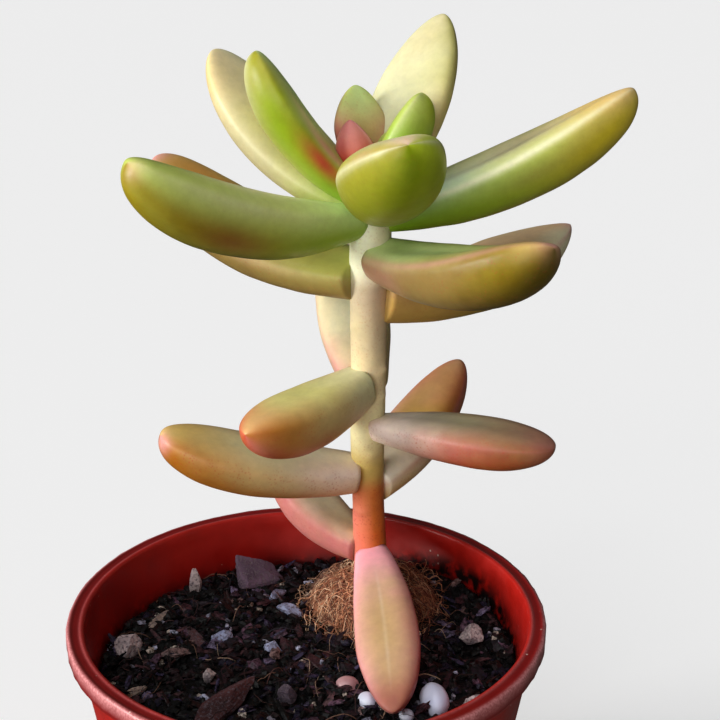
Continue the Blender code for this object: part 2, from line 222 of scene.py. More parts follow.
def new_finish(name):
    """A material, with a function that adds a node to it and a function that links its shader.

    add(kind, {socket: value or output}, setting=value) returns the new node.
    """
    material = bpy.data.materials.new(name)
    material.use_nodes = True
    tree = material.node_tree
    shader = tree.nodes["Principled BSDF"]

    def add(kind, sockets=None, **settings):
        made = tree.nodes.new("ShaderNode" + kind)
        for setting, value in settings.items():
            setattr(made, setting, value)
        fill(made, sockets or {})
        return made

    def fill(made, sockets):
        for socket, value in sockets.items():
            if isinstance(value, bpy.types.NodeSocket):
                tree.links.new(value, made.inputs[socket])
            else:
                made.inputs[socket].default_value = value

    return material, add, lambda sockets: fill(shader, sockets)


def mixed(add, share, first, second):
    """The output of a node that mixes two colours, each given as numbers or as an output."""
    made = add("Mix", {0: share}, data_type="RGBA")
    for socket, value in ((6, first), (7, second)):
        if isinstance(value, bpy.types.NodeSocket):
            made.id_data.links.new(value, made.inputs[socket])
        else:
            made.inputs[socket].default_value = (*value, 1)
    return made.outputs[2]


def spread(add, value, low, high, to_low=0.0, to_high=1.0):
    """A value stretched from the range low to high onto another range, and kept within it."""
    sockets = {0: value, 1: low, 2: high, 3: to_low, 4: to_high}
    return add("MapRange", sockets).outputs[0]


def cloud(add, size, detail=3.0, roughness=0.55):
    """Noise whose features are about the given size in metres, from Object coordinates."""
    place = add("TexCoord").outputs["Object"]
    sockets = {"Vector": place, "Scale": 1 / size, "Detail": detail, "Roughness": roughness}
    return add("TexNoise", sockets).outputs[0]


def mask(add, name, output="Fac"):
    """What an attribute of the mesh holds at each point: a number, or its Color."""
    return add("Attribute", attribute_name=name).outputs[output]


def product(add, first, second):
    """Two values multiplied."""
    return add("Math", {0: first, 1: second}, operation="MULTIPLY").outputs[0]


def cells(add, size):
    """The distance to the nearest of many odd points about the given size apart."""
    place = add("TexCoord").outputs["Object"]
    return add("TexVoronoi", {"Vector": place, "Scale": 1 / size}).outputs["Distance"]


def relief(add, height, strength, depth, under=None):
    """The direction of a surface that a height raises and sinks by up to the depth."""
    sockets = {"Height": height, "Strength": strength, "Distance": depth}
    if under is not None:
        sockets["Normal"] = under
    return add("Bump", sockets).outputs[0]


def pot_finish():
    """Brick-red plastic: mottled and dusty, the lip's top and outer face darker as painted shade, the
    lip's edges pink partly from scuffs and partly as a painted highlight, and the inner wall dark
    above the mix, partly dirt and partly painted shade.
    """
    material, add, shade = new_finish("pot_plastic")
    deep, bright = tint(*DEEP_RED), tint(*BRIGHT_RED)
    mottle = spread(add, cloud(add, 6 * MM, 5), 0.35, 0.7)
    colour = mixed(add, mottle, deep * 0.5 + bright * 0.5, deep * 0.2 + bright * 0.8)
    # Painted shade: the lip's top and outer face darkened to a deeper red.
    colour = mixed(add, mask(add, "painted_lip_shade"), colour, tint(*LIP_SHADE_RED))
    # The lip's edges turned pink: partly scuffs, partly a painted highlight.
    grit = spread(add, cloud(add, 0.3 * MM, 4), 0.35, 0.65, 0.45, 1.0)
    edge_pink_share = product(add, mask(add, "scuff_and_highlight"), grit)
    colour = mixed(add, edge_pink_share, colour, tint(*SCUFF_AND_HIGHLIGHT_PINK))
    dot = spread(add, cells(add, 1.9 * MM), 0.06, 0.1, 1, 0)
    chosen = spread(add, cloud(add, 4 * MM, 2), 0.55, 0.6)
    colour = mixed(add, product(add, dot, chosen), colour, tint(*DUST))
    # The inner wall darkened above the mix, in patches: partly dirt, partly painted shade.
    dirt_and_shade_share = spread(add, cloud(add, 1.6 * MM, 5), 0.3, 0.52)
    dirt_and_shade_share = product(add, mask(add, "dirt_and_shade"), dirt_and_shade_share)
    colour = mixed(add, dirt_and_shade_share, colour, tint(*DIRT_AND_SHADE))
    roughness = spread(add, cloud(add, 3 * MM, 4), 0.3, 0.7, 0.3, 0.46)
    skin = relief(add, cloud(add, 0.45 * MM, 3), 0.12, 0.1 * MM)
    shade({"Base Color": colour, "Roughness": roughness, "Normal": skin})
    shade({"Specular IOR Level": 0.5})
    return material


def wall_radius(height, inset=0.0):
    """The radius of the pot's tapered outer wall at a height, less an inset."""
    share = height / (POT_HEIGHT - RIM_DEPTH)
    return BASE_RADIUS + (WALL_TOP_RADIUS - BASE_RADIUS) * share - inset


def heaped(course):
    """How far the mix lies against the wall, from 0 to 1: a bell round the course of its heap."""
    return bell(course - HEAP_COURSE, HEAP_REACH)


def make_pot():
    """The pot: a profile of (radius, height), refined between its corners and turned about Z.

    The lip is pushed out by a noise of the angle that fades away from its outer edge, and the
    whole mouth is a little oval.
    """
    under = POT_HEIGHT - RIM_DEPTH
    inner = RIM_INSIDE - 0.5 * MM
    corners = [
        (1 * MM, 0),
        (wall_radius(0, 1.2 * MM), 0),
        (wall_radius(0, 0.3 * MM), 0.25 * MM),
        (wall_radius(1 * MM), 1 * MM),
        (wall_radius(under - 0.5 * MM), under - 0.5 * MM),
        (wall_radius(under) + 0.3 * MM, under - 0.05 * MM),
        (RIM_RADIUS - 0.5 * MM, under),
        (RIM_RADIUS - 0.12 * MM, under + 0.15 * MM),
        (RIM_RADIUS, under + 0.6 * MM),
        (RIM_RADIUS, POT_HEIGHT - 0.5 * MM),
        (RIM_RADIUS - 0.15 * MM, POT_HEIGHT - 0.1 * MM),
        (RIM_RADIUS - 0.5 * MM, POT_HEIGHT),
        (RIM_RADIUS - 0.8 * MM, POT_HEIGHT - 0.12 * MM),
        (RIM_INSIDE + 0.35 * MM, POT_HEIGHT - 0.12 * MM),
        (RIM_INSIDE, POT_HEIGHT - 0.02 * MM),
        (inner + 0.15 * MM, POT_HEIGHT - 0.15 * MM),
        (inner, POT_HEIGHT - 0.6 * MM),
        (wall_radius(POT_HEIGHT - 2 * MM, WALL), POT_HEIGHT - 2 * MM),
        (wall_radius(FLOOR + 1 * MM, WALL), FLOOR + 1 * MM),
        (wall_radius(FLOOR, WALL + 1 * MM), FLOOR),
        (1 * MM, FLOOR),
    ]
    profile = []
    for (r0, z0), (r1, z1) in zip(corners, corners[1:]):
        longest = 0.2 * MM if min(z0, z1) > POT_HEIGHT - 1 * MM else 1.2 * MM
        steps = max(1, round(np.hypot(r1 - r0, z1 - z0) / longest))
        share = np.arange(steps)[:, None] / steps
        profile.append((1 - share) * (r0, z0) + share * (r1, z1))
    profile = np.concatenate([*profile, [corners[-1]]])
    radius, height = profile.T
    angle = round_ring(POT_SIDES)
    course = np.stack([np.cos(angle), np.sin(angle), 0 * angle], -1)
    ragged = 0.5 * lumps(course, 0.06) + 0.6 * np.clip(lumps(course, 0.02, 3), 0, None)
    edge = bell(radius - RIM_RADIUS, 0.35 * MM)
    edge *= height > under - 0.1 * MM
    out = radius[:, None] + LIP_WAVES * edge[:, None] * ragged
    out -= POT_SWAY * np.sin(2 * angle + 0.6) * np.clip(height / POT_HEIGHT, 0, 1)[:, None]
    grid = np.stack([out * np.cos(angle), out * np.sin(angle), height[:, None] + 0 * out], -1)
    # The pink on the lip: along its outer edge partly scuffs and partly a painted highlight, along
    # its inner edge a painted highlight line.
    outer_edge = bell(radius - RIM_RADIUS + 0.12 * MM, 0.26 * MM)
    outer_edge *= np.clip((height - under - 0.8 * MM) / (1.2 * MM), 0, 1)
    painted_highlight_edge = 0.25 * bell(radius - RIM_INSIDE - 0.1 * MM, 0.2 * MM)
    painted_highlight_edge *= height > POT_HEIGHT - 0.5 * MM
    scuff_and_highlight = (outer_edge + painted_highlight_edge)[:, None] * (0.75 + 0.25 * lumps(course, 0.3, 5))
    inside = radius < wall_radius(height, 0.5 * MM)
    # Dirt and painted shade on the inner wall: dark from a line just under the mix, rising at the
    # heap.
    dirt_and_shade_line = DIRT_AND_SHADE_LINE + DIRT_AND_SHADE_RISE * heaped(angle)
    dirt_and_shade = np.exp(-np.clip((height[:, None] - dirt_and_shade_line) / (1.1 * MM), 0, None))
    dirt_and_shade *= inside[:, None]
    # Painted shade: the lip's top and its outer face, from just past the inner edge outwards.
    painted_lip_shade = 0.7 * np.clip((radius - RIM_INSIDE) / (0.3 * MM), 0, 1) * (height > under + 0.5 * MM)
    masks = {"scuff_and_highlight": scuff_and_highlight, "dirt_and_shade": dirt_and_shade, "painted_lip_shade": painted_lip_shade[:, None]}
    return make_piece("pot_body", grid[None], pot_finish(), "pot_plastic", ["pot"], masks=masks)


def drill(piece, spots, radius, depth):
    """Cuts round upright holes through the lowest part of a piece, at places (x, y)."""
    cutters = []
    for spot in spots:
        bpy.ops.mesh.primitive_cylinder_add(
            vertices=40, radius=radius, depth=depth, location=(*spot, 0)
        )
        cutters.append(bpy.context.active_object)
        cut = piece.modifiers.new("hole", "BOOLEAN")
        cut.operation = "DIFFERENCE"
        cut.solver = "EXACT"
        cut.object = cutters[-1]
    graph = bpy.context.evaluated_depsgraph_get()
    drilled = bpy.data.meshes.new_from_object(piece.evaluated_get(graph))
    piece.modifiers.clear()
    piece.data = drilled
    for cutter in cutters:
        bpy.data.objects.remove(cutter)


hole_angle = tau * (np.arange(DRAIN_HOLES) + 0.5) / DRAIN_HOLES
hole_spots = DRAIN_CIRCLE * np.column_stack([np.cos(hole_angle), np.sin(hole_angle)])
drill(make_pot(), hole_spots, DRAIN_RADIUS, 4 * FLOOR)

# The potting mix: black peat with bark fines, filled in by hand to a finger's width below the
# rim and settled by watering. Its surface is clodded, draws back a little from the wall, and is
# heaped against it on the right.
SOIL_LEVEL = 43.8 * MM
SOIL_RINGS = 84
SOIL_SIDES = 250
SOIL_WAIST = 25 * MM
SOIL_GAP = 0.25 * MM
# Height and size in millimetres, and seed.
CLODS = ((0.95, 4.6, 0), (0.6, 2, 1), (0.35, 0.9, 2))
HEAP = 2.8
BLACK_PEAT = (3, 2, 3)
BROWN_PEAT = (18, 12, 15)
VIOLET_FLECK = (60, 50, 66)
PLUG_PLACE = np.array([9, 15.2]) * MM
PLUG_RADIUS = 9.6 * MM


def soil_height(x, y):
    """The level of the mix, with clods of three sizes, a heap at the wall, and the plug's dent."""
    place = np.stack([x, y, 0 * x], -1)
    clods = sum(height * lumps(place, size * MM, seed) for height, size, seed in CLODS)
    from_wall = wall_radius(SOIL_LEVEL, WALL) - np.hypot(x, y)
    edge = np.exp(-np.clip(from_wall, 0, None) / (1.2 * MM))
    from_plug = np.hypot(x - PLUG_PLACE[0], y - PLUG_PLACE[1])
    dent = 1 / (1 + (from_plug / (7.5 * MM)) ** 8)
    heap = HEAP * heaped(np.arctan2(y, x)) * bell(from_wall, 3 * MM)
    return SOIL_LEVEL + MM * (clods * (1 - edge) - 0.8 * edge - 2.5 * dent + heap)


def soil_finish():
    """Black peat: brown and violet-grey in patches, matt, with small glints where it is wet."""
    material, add, shade = new_finish("potting_mix")
    patches = spread(add, cloud(add, 1.5 * MM, 6, 0.65), 0.4, 0.68)
    colour = mixed(add, patches, tint(*BLACK_PEAT), tint(*BROWN_PEAT))
    flecks = spread(add, cloud(add, 0.55 * MM, 3, 0.6), 0.6, 0.68)
    colour = mixed(add, flecks, colour, tint(*VIOLET_FLECK))
    roughness = spread(add, cloud(add, 0.8 * MM, 3), 0.42, 0.5, 0.95, 0.45)
    crumb = relief(add, cloud(add, 0.35 * MM, 5, 0.7), 0.9, 0.3 * MM)
    shade({"Base Color": colour, "Roughness": roughness, "Normal": crumb})
    shade({"Specular IOR Level": 0.2})
    return material


def topped_rings(radius, sides, middle, level, foot):
    """Rings round a middle at a level that depends on x and y, after a few at the foot's heights."""
    angle = round_ring(sides)
    x = middle[0] + radius[:, None] * np.cos(angle)
    y = middle[1] + radius[:, None] * np.sin(angle)
    z = level(x, y)
    z[: len(foot)] = np.array(foot)[:, None]
    return np.stack([x, y, z], -1)


def make_soil(finish):
    """The filling: a floor and a wall that follow the pot's, then the clodded top, ring by ring."""
    low = FLOOR + SOIL_GAP
    inset = WALL + SOIL_GAP
    edge = wall_radius(SOIL_LEVEL, inset)
    radius = [0.5 * wall_radius(low, inset), wall_radius(low, inset), wall_radius(SOIL_WAIST, inset)]
    radius = np.concatenate([radius, edge * np.linspace(1, 1 / SOIL_RINGS, SOIL_RINGS)])
    grid = topped_rings(radius, SOIL_SIDES, (0, 0), soil_height, (low, low, SOIL_WAIST))
    make_piece("soil_fill", grid[None], finish, "potting_mix", ["soil"])


mix_finish = soil_finish()
make_soil(mix_finish)

# The fibre plug: the round pad of matted coconut fibre in which the cutting was rooted. It
# stands proud of the mix, tapers into it, and its loose ends curl out over its own surface.
PLUG_FOOT_RADIUS = 6.5 * MM
PLUG_DEPTH = 16 * MM
PLUG_RISE = 4 * MM
PAD_RINGS = 36
PAD_SIDES = 96
FIBRES = 2300
FIBRE_POINTS = 13
FIBRE_CURL = 420  # radians per metre
FIBRE_WAVE = 2600  # radians per metre
ODD_WAY = (0.31, 0.17, 0.93)
STRAND_TAPER = 0.6
FIBRE_TONES = ((236, 174, 130), (216, 146, 108), (172, 110, 80), (246, 204, 166), (118, 70, 54))
PAD_DARK = (60, 36, 29)
PAD_LIGHT = (158, 104, 76)
GREYED = (128, 112, 98)
GREYED_PLACE = np.array([-2.5, 21]) * MM


def plug_height(x, y):
    """Half an ellipsoid over the plug's middle, with tufts."""
    out = np.hypot(x - PLUG_PLACE[0], y - PLUG_PLACE[1]) / PLUG_RADIUS
    dome = np.sqrt(np.clip(1 - out**2, 0, 1))
    place = np.stack([x, y, 0 * x], -1)
    tufts = 0.5 * lumps(place, 3.2 * MM, 8) + 0.25 * lumps(place, 1.2 * MM, 9)
    return SOIL_LEVEL - MM + (PLUG_RISE + MM) * dome + tufts * MM * dome


def scaled(add, colour, amount):
    """A colour made lighter or darker by a value."""
    return add("VectorMath", {0: colour, "Scale": amount}, operation="SCALE").outputs[0]


def fibre_finish():
    """Dry fibre: each strand its own tan or brown from the paint, darker in streaks along it."""
    material, add, shade = new_finish("coir_fibre")
    streaks = spread(add, cloud(add, 0.5 * MM, 4), 0.3, 0.7, 0.72, 1.12)
    skin = relief(add, cloud(add, 0.2 * MM, 3), 0.4, 0.05 * MM)
    shade({"Base Color": scaled(add, mask(add, "paint", "Color"), streaks)})
    shade({"Normal": skin, "Roughness": 0.78})
    return material


def strand_grids(paths, radius, sides):
    """Thin tubes along paths shaped (strands, points, 3).

    Round each point of a path stands a ring in the plane of two directions across it: the one
    across both the path and a lasting odd direction, and the one across that and the path. The
    radius falls towards both ends.
    """
    along = np.gradient(paths, axis=1)
    along /= np.linalg.norm(along, axis=-1, keepdims=True)
    side = np.cross(along, ODD_WAY)
    side /= np.linalg.norm(side, axis=-1, keepdims=True)
    other = np.cross(along, side)
    angle = round_ring(sides)[:, None]
    share = np.linspace(-1, 1, paths.shape[1])
    thick = np.reshape(radius, (-1, 1)) * (1 - STRAND_TAPER * share**4)
    ring = np.cos(angle) * side[:, :, None] + np.sin(angle) * other[:, :, None]
    return paths[:, :, None] + thick[:, :, None, None] * ring


def coloured_by_turns(draw, count, tones):
    """A colour for each of many small pieces: one of a few tones, made a little lighter or darker."""
    shades = np.array([tint(*tone) for tone in tones])
    picked = shades[draw.integers(len(tones), size=count)]
    return picked * draw.uniform(0.7, 1.3, (count, 1))


def laid_over(colour, share, tone):
    """A colour with a share of another laid over it."""
    return colour * (1 - share) + share * tone


def make_pad(finish):
    """The matted pad: a tapered foot, then the dome, ring by ring."""
    share = np.linspace(1, 0.03, PAD_RINGS)
    radius = np.concatenate([[1 * MM, PLUG_FOOT_RADIUS, 8 * MM], PLUG_RADIUS * share])
    low = SOIL_LEVEL - PLUG_DEPTH
    foot = (low, low, low + PLUG_DEPTH / 2)
    pad = topped_rings(radius, PAD_SIDES, PLUG_PLACE, plug_height, foot)
    shade = 0.5 + 0.5 * lumps(pad, 3 * MM, 4)[..., None]
    paint = laid_over(tint(*PAD_DARK), shade, tint(*PAD_LIGHT))
    make_piece("plug_pad", pad[None], finish, "coir_fibre", ["fibre_plug"], paint=paint[None])


def make_strands(finish):
    """The strands over the pad.

    A strand walks over the dome with a steady turn to one side, and its height above the dome
    is a small bow that starts and ends in the pad.
    """
    draw = np.random.default_rng(11)
    out = PLUG_RADIUS * 1.02 * np.sqrt(draw.uniform(0, 1, FIBRES))
    course = draw.uniform(0, tau, FIBRES)
    start = PLUG_PLACE + np.stack([out * np.cos(course), out * np.sin(course)], -1)
    length = draw.uniform(3, 8, FIBRES)[:, None] * MM
    curl = draw.uniform(-1, 1, FIBRES)[:, None] * FIBRE_CURL
    way = draw.uniform(0, tau, FIBRES)[:, None]
    walked = np.linspace(-0.5, 0.5, FIBRE_POINTS) * length
    heading = way + curl * walked
    heading = heading + 0.5 * np.sin(walked * FIBRE_WAVE + course[:, None])
    step = length / (FIBRE_POINTS - 1)
    ahead = np.stack([np.cos(heading), np.sin(heading)])
    middle = ahead.mean(2)[..., None] * length / 2
    x, y = start.T[..., None] + np.cumsum(ahead, 2) * step - middle
    high = draw.uniform(-0.1, 1.2, FIBRES)[:, None] ** 2
    bow = np.sin(np.linspace(0, tau / 2, FIBRE_POINTS)) * high * 1.6 * MM
    dome = plug_height(x, y)
    beyond = np.hypot(x - PLUG_PLACE[0], y - PLUG_PLACE[1]) > PLUG_RADIUS * 0.98
    ground = np.where(beyond, np.maximum(dome, soil_height(x, y) + 0.1 * MM), dome)
    paths = np.stack([x, y, ground - 0.05 * MM + bow], -1)
    thickness = draw.uniform(0.03, 0.075, FIBRES) * MM
    paint = coloured_by_turns(draw, FIBRES, FIBRE_TONES)
    greyed = 0.75 * np.exp(-((start - GREYED_PLACE) ** 2).sum(1) / (6 * MM) ** 2)[:, None]
    paint = laid_over(paint, greyed, tint(*GREYED))
    redder = np.clip((start[:, :1] - 11 * MM) / (7 * MM), 0, 1)
    paint = paint * (1 - redder * np.array([0.3, 0.45, 0.5]))
    strands = strand_grids(paths, thickness, 3)
    make_piece("plug_fibres", strands, finish, "coir_fibre", paint=paint[:, None, None])


coir = fibre_finish()
make_pad(coir)
make_strands(coir)

# The stones in the mix: white crumbs of perlite and beige ones of pumice, both blown by heat
# and full of pores, and a few smooth pale pebbles. They were stirred in and lie half sunk.
STONE_SINK = 0.3
STONE_RINGS = 44
STONE_SIDES = 60
PORE = (104, 90, 98)


@dataclass
class Stone:
    """A stone or chip: its CAD node, place and size in millimetres, and its look.

    turn is its length's course in degrees, and lean lifts its far side. rough is how far its
    skin departs from a smooth ellipsoid, and cuts is how many flat faces were broken off it.
    """

    node: str
    place: tuple
    size: tuple
    turn: float
    shade: tuple
    slot: str = "pumice_stone"
    lean: float = 0
    rough: float = 0.16
    cuts: int = 14
    grain: float = 1


# The light and the dark tone of each kind.
PERLITE = ((176, 182, 214), (84, 90, 126))
PUMICE = ((212, 192, 190), (124, 108, 116))
GREY_STONE = ((92, 78, 92), (40, 32, 42))
WHITE_PEBBLE = ((232, 236, 252), (200, 206, 240))
PINK_PEBBLE = ((206, 160, 162), (120, 78, 84))

STONES = (
    Stone("pumice_left", (-25, 0.5), (4.8, 4.2, 3.8), 60, PUMICE, rough=0.26, cuts=18),
    Stone("pumice_right", (23.2, 4.8), (3.7, 3.6, 3.2), 70, PUMICE),
    Stone("pumice_front_right", (22.2, -12.6), (4.4, 3.4, 2.8), 30, PUMICE),
    Stone("pumice_small", (-13.3, -5.4), (2.2, 2.0, 2.2), 0, PUMICE),
    Stone("pumice_grey", (-2.4, -10.1), (3.4, 3.0, 2.8), 10, GREY_STONE, "bark_grey"),
    Stone("perlite_left", (-12.6, 3.6), (4.0, 3.0, 2.8), 10, PERLITE, "white_stone"),
    Stone("perlite_middle", (-3.2, 11.2), (4.6, 3.2, 2.8), -25, PERLITE, "white_stone"),
    Stone("perlite_back", (-5.6, 16.4), (4.8, 1.9, 2.2), 57, PERLITE, "white_stone"),
    Stone("perlite_front", (-5.2, 1.6), (3.0, 2.6, 2.6), 0, PERLITE, "white_stone"),
    Stone("perlite_upright", (-18.2, 18.4), (2.2, 1.9, 6.2), 0, PUMICE, "white_stone"),
)


def pebble(node, place, size, turn, shade, slot="white_stone"):
    """A stone that water has worn smooth, with nothing broken off it."""
    return Stone(node, place, size, turn, shade, slot, rough=0.08, cuts=0)


PEBBLES = (
    pebble("pebble_front", (16.8, -12), (3.7, 5.6, 4.8), 15, WHITE_PEBBLE),
    pebble("pebble_small", (13.2, -14.4), (2.0, 2.0, 1.8), 20, WHITE_PEBBLE),
    pebble("pebble_under_leaf", (8.2, -11.2), (3.0, 2.4, 2.2), 120, WHITE_PEBBLE),
    pebble("pebble_pink", (5.6, -7.8), (3.2, 2.8, 2.6), 150, PINK_PEBBLE, "pumice_stone"),
)


def stone_finish(name, roughness, pits):
    """Stone: the paint, and where it is porous, dark pores that also dent the surface."""
    material, add, shade = new_finish(name)
    paint = mask(add, "paint", "Color")
    pores = spread(add, cloud(add, 0.4 * MM, 4, 0.65), 0.34, 0.5)
    porous = mixed(add, pores, tint(*PORE), paint)
    skin = relief(add, pores, pits, 0.25 * MM)
    shade({"Base Color": porous if pits > 0.3 else paint, "Normal": skin})
    shade({"Roughness": roughness})
    return material


def swung(first, second, angle):
    """Two coordinates turned by an angle, from the first towards the second."""
    cos, sin = np.cos(angle), np.sin(angle)
    return first * cos - second * sin, first * sin + second * cos


def make_stone(stone, finish):
    """A unit ball with its skin pushed by noise and flats cut off, stretched, leaned and turned.

    A flat replaces every point p that passes it, where p . n > d, by p - (p . n - d) n. Grained
    bark starts from a boxier ball, and its noise is drawn out along its length.
    """
    polar = np.linspace(0.04, tau / 2 - 0.04, STONE_RINGS)[:, None]
    angle = -round_ring(STONE_SIDES)
    round_it = [np.sin(polar) * np.cos(angle), np.sin(polar) * np.sin(angle)]
    ball = np.stack([*round_it, np.cos(polar) + 0 * angle], -1)
    seed = sum(map(abs, stone.place))
    boxy, drawn_out = (0.82, 0.3) if stone.grain > 1 else (1, 1)
    skin = 1 + stone.rough * lumps(ball * (drawn_out, 1, 1), 0.75, seed)
    shape = np.sign(ball) * np.abs(ball) ** boxy * skin[..., None]
    draw = np.random.default_rng(round(10 * seed))
    for _ in range(stone.cuts):
        flat = draw.normal(size=3)
        flat /= np.linalg.norm(flat)
        past = np.clip(shape @ flat - draw.uniform(0.58, 0.9), 0, None)
        shape = shape - past[..., None] * flat
    grain = lumps(shape * (1 / stone.grain, stone.grain, stone.grain), 0.22, seed + 2)
    grit = 0.05 * grain + 0.03 * lumps(shape, 0.09, seed + 3)
    shape = shape * (1 + grit * (stone.rough > 0.1))[..., None]
    half = np.array(stone.size) / 2 * MM
    lean = radians(stone.lean)
    x, y, z = np.moveaxis(shape * half, -1, 0)
    y, z = swung(y, z, lean)
    x, y = swung(x, y, radians(stone.turn))
    rise = SOIL_LEVEL + half[1] * np.sin(lean) + half[2] * (1 - 2 * STONE_SINK)
    grid = np.stack([x + stone.place[0] * MM, y + stone.place[1] * MM, z + rise], -1)
    share = 0.75 * (0.5 + 0.5 * lumps(ball, 0.6, seed + 5))[..., None]
    light, dark = (tint(*tone) for tone in stone.shade)
    # Painted shade: each stone darker towards its underside, down to where it sinks into the mix.
    low = np.clip((0.35 - ball[..., 2:]) / 0.9, 0, 1)
    paint = laid_over(light, share, dark) * (1 - 0.7 * low)
    name = stone.node + "_rock"
    rock = make_piece(name, grid[None], finish, stone.slot, [stone.node], paint=paint[None])
    if stone.cuts:
        rock.data.shade_flat()


porous_stone = stone_finish("porous_stone", 0.85, 0.7)
smooth_stone = stone_finish("smooth_stone", 0.38, 0.08)
for stone in STONES:
    make_stone(stone, porous_stone)
for stone in PEBBLES:
    make_stone(stone, smooth_stone)

# The larger bark: torn flakes and chips of pine, red-brown where fresh and grey where aged.
# They lie loose on the mix, with their fibres running along them.
RED_BARK = ((84, 42, 44), (24, 13, 19))
VIOLET_BARK = ((120, 94, 116), (40, 28, 42))
BROWN_BARK = ((92, 58, 60), (36, 22, 28))
PALE_BARK = ((186, 164, 148), (96, 76, 70))


def chip(node, place, size, turn, shade, slot):
    """A long chip, split along its grain."""
    return Stone(node, place, size, turn, shade, slot, rough=0.24, cuts=12, grain=1.8)


BARK = (
    Stone("bark_flake_back", (-9.2, 20.9), (8.6, 7.0, 1.6), 28, VIOLET_BARK, "bark_grey",
          lean=30, rough=0.32, cuts=16, grain=1.6),
    chip("bark_chunk_front", (-9.9, -11.6), (15, 4.8, 3.2), 66, RED_BARK, "bark_brown"),
    chip("bark_chip_brown", (-16.2, 4), (8.0, 1.9, 1.7), -68, BROWN_BARK, "bark_brown"),
    chip("bark_chip_pale", (-22.4, 8.7), (7.6, 1.6, 1.6), 64, PALE_BARK, "pumice_stone"),
    chip("bark_chip_left", (-23.2, -9.8), (6.2, 1.6, 1.5), 46, PALE_BARK, "pumice_stone"),
)
torn_bark = stone_finish("torn_bark", 0.8, 0.6)
for stone in BARK:
    make_stone(stone, torn_bark)

# The fines of the mix: crumbs of peat and bark, shreds, grains of perlite, and the loose
# fibres that lie over it all. They cover the surface and were only poured.
CRUMBS = 1500
SHREDS = 420
FLAKES = 130
GRAINS = 120
LOOSE_FIBRES = 110
LUMP_RINGS = 4
LUMP_SIDES = 7
LUMP_PUSH = (0.65, 1.35)
LUMP_SINK = 0.2
LOOSE_POINTS = 15
LOOSE_CURL = 380  # radians per metre
LOOSE_TONES = ((84, 52, 46), (52, 28, 28), (120, 88, 72), (36, 30, 40), (160, 130, 108))
DARK_TONES = ((6, 4, 5), (10, 7, 9), (40, 24, 28), (36, 30, 48), (5, 4, 5), (8, 6, 8))
SHRED_TONES = ((50, 28, 34), (14, 9, 12), (84, 56, 60), (66, 58, 84), (44, 16, 16), (9, 6, 8))
FLAKE_TONES = ((92, 66, 82), (70, 44, 50), (104, 92, 118), (36, 26, 34), (124, 98, 96))
CRUMB_PIT = (6, 4, 5)
GRAIN_TONES = ((176, 176, 200), (150, 146, 162), (186, 170, 158))


def strewn_places(draw, count, clear=0.8):
    """Places on the mix, even over its disc, but for the plug and the tops of the stones."""
    tries = 4 * count
    out = (wall_radius(SOIL_LEVEL, WALL) - 0.7 * MM) * np.sqrt(draw.uniform(0, 1, tries))
    angle = draw.uniform(0, tau, tries)
    place = np.stack([out * np.cos(angle), out * np.sin(angle)], -1)
    free = np.linalg.norm(place - PLUG_PLACE, axis=1) > PLUG_RADIUS * 0.95
    for stone in (*STONES, *PEBBLES, *BARK):
        course = radians(stone.turn)
        gap = place - np.array(stone.place) * MM
        along = gap @ (np.cos(course), np.sin(course)) / (stone.size[0] / 2 * MM)
        across = gap @ (-np.sin(course), np.cos(course)) / (stone.size[1] / 2 * MM)
        free &= np.hypot(along, across) > clear
    return place[free][:count]


def kept_inside(x, y, gap):
    """Points drawn in towards the pot's middle where they would pass its wall less a gap."""
    widest = wall_radius(SOIL_LEVEL, WALL) - gap
    share = np.minimum(1, widest / np.maximum(np.hypot(x, y), MM))
    return x * share, y * share


def strewn(name, seed, count, sizes, tones, finish, slot):
    """Many small rough lumps in one piece.

    Each is a ball of few faces whose points are pushed out or in at random, then stretched,
    tipped, turned and laid on the mix. sizes are the ranges of its length, width and thickness
    in millimetres.
    """
    draw = np.random.default_rng(seed)
    place = strewn_places(draw, count)
    count = len(place)
    polar = np.linspace(0.5, tau / 2 - 0.5, LUMP_RINGS)[:, None]
    angle = np.linspace(tau, 0, LUMP_SIDES, endpoint=False)
    round_it = [np.sin(polar) * np.cos(angle), np.sin(polar) * np.sin(angle)]
    ball = np.stack([np.cos(polar) + 0 * angle, *round_it], -1)
    pushed = draw.uniform(*LUMP_PUSH, (count, LUMP_RINGS, LUMP_SIDES, 1))
    half = np.stack([draw.uniform(*side, count) / 2 * MM for side in sizes], -1)
    x, y, z = np.moveaxis(ball * pushed * half[:, None, None], -1, 0)
    turn, tip = draw.uniform(0, tau, (count, 1, 1)), draw.normal(0, 0.35, (count, 1, 1))
    x, z = swung(x, z, tip)
    x, y = swung(x, y, turn)
    ground = soil_height(*place.T) + half[:, 2] * (1 - 2 * LUMP_SINK)
    x, y = kept_inside(x + place[:, 0, None, None], y + place[:, 1, None, None], 0.2 * MM)
    grids = np.stack([x, y, z + ground[:, None, None]], -1)
    paint = coloured_by_turns(draw, count, tones)[:, None, None]
    make_piece(name, grids, finish, slot, paint=paint).data.shade_flat()


def crumb_finish():
    """Crumbs: the paint, mottled, matt with a few wet glints."""
    material, add, shade = new_finish("crumbs")
    mottle = spread(add, cloud(add, 0.5 * MM, 4, 0.6), 0.35, 0.6)
    colour = mixed(add, mottle, tint(*CRUMB_PIT), mask(add, "paint", "Color"))
    roughness = spread(add, cloud(add, 0.9 * MM, 2), 0.4, 0.55, 0.9, 0.5)
    skin = relief(add, cloud(add, 0.2 * MM, 3), 0.5, 0.1 * MM)
    shade({"Base Color": colour, "Roughness": roughness, "Normal": skin})
    shade({"Specular IOR Level": 0.25})
    return material


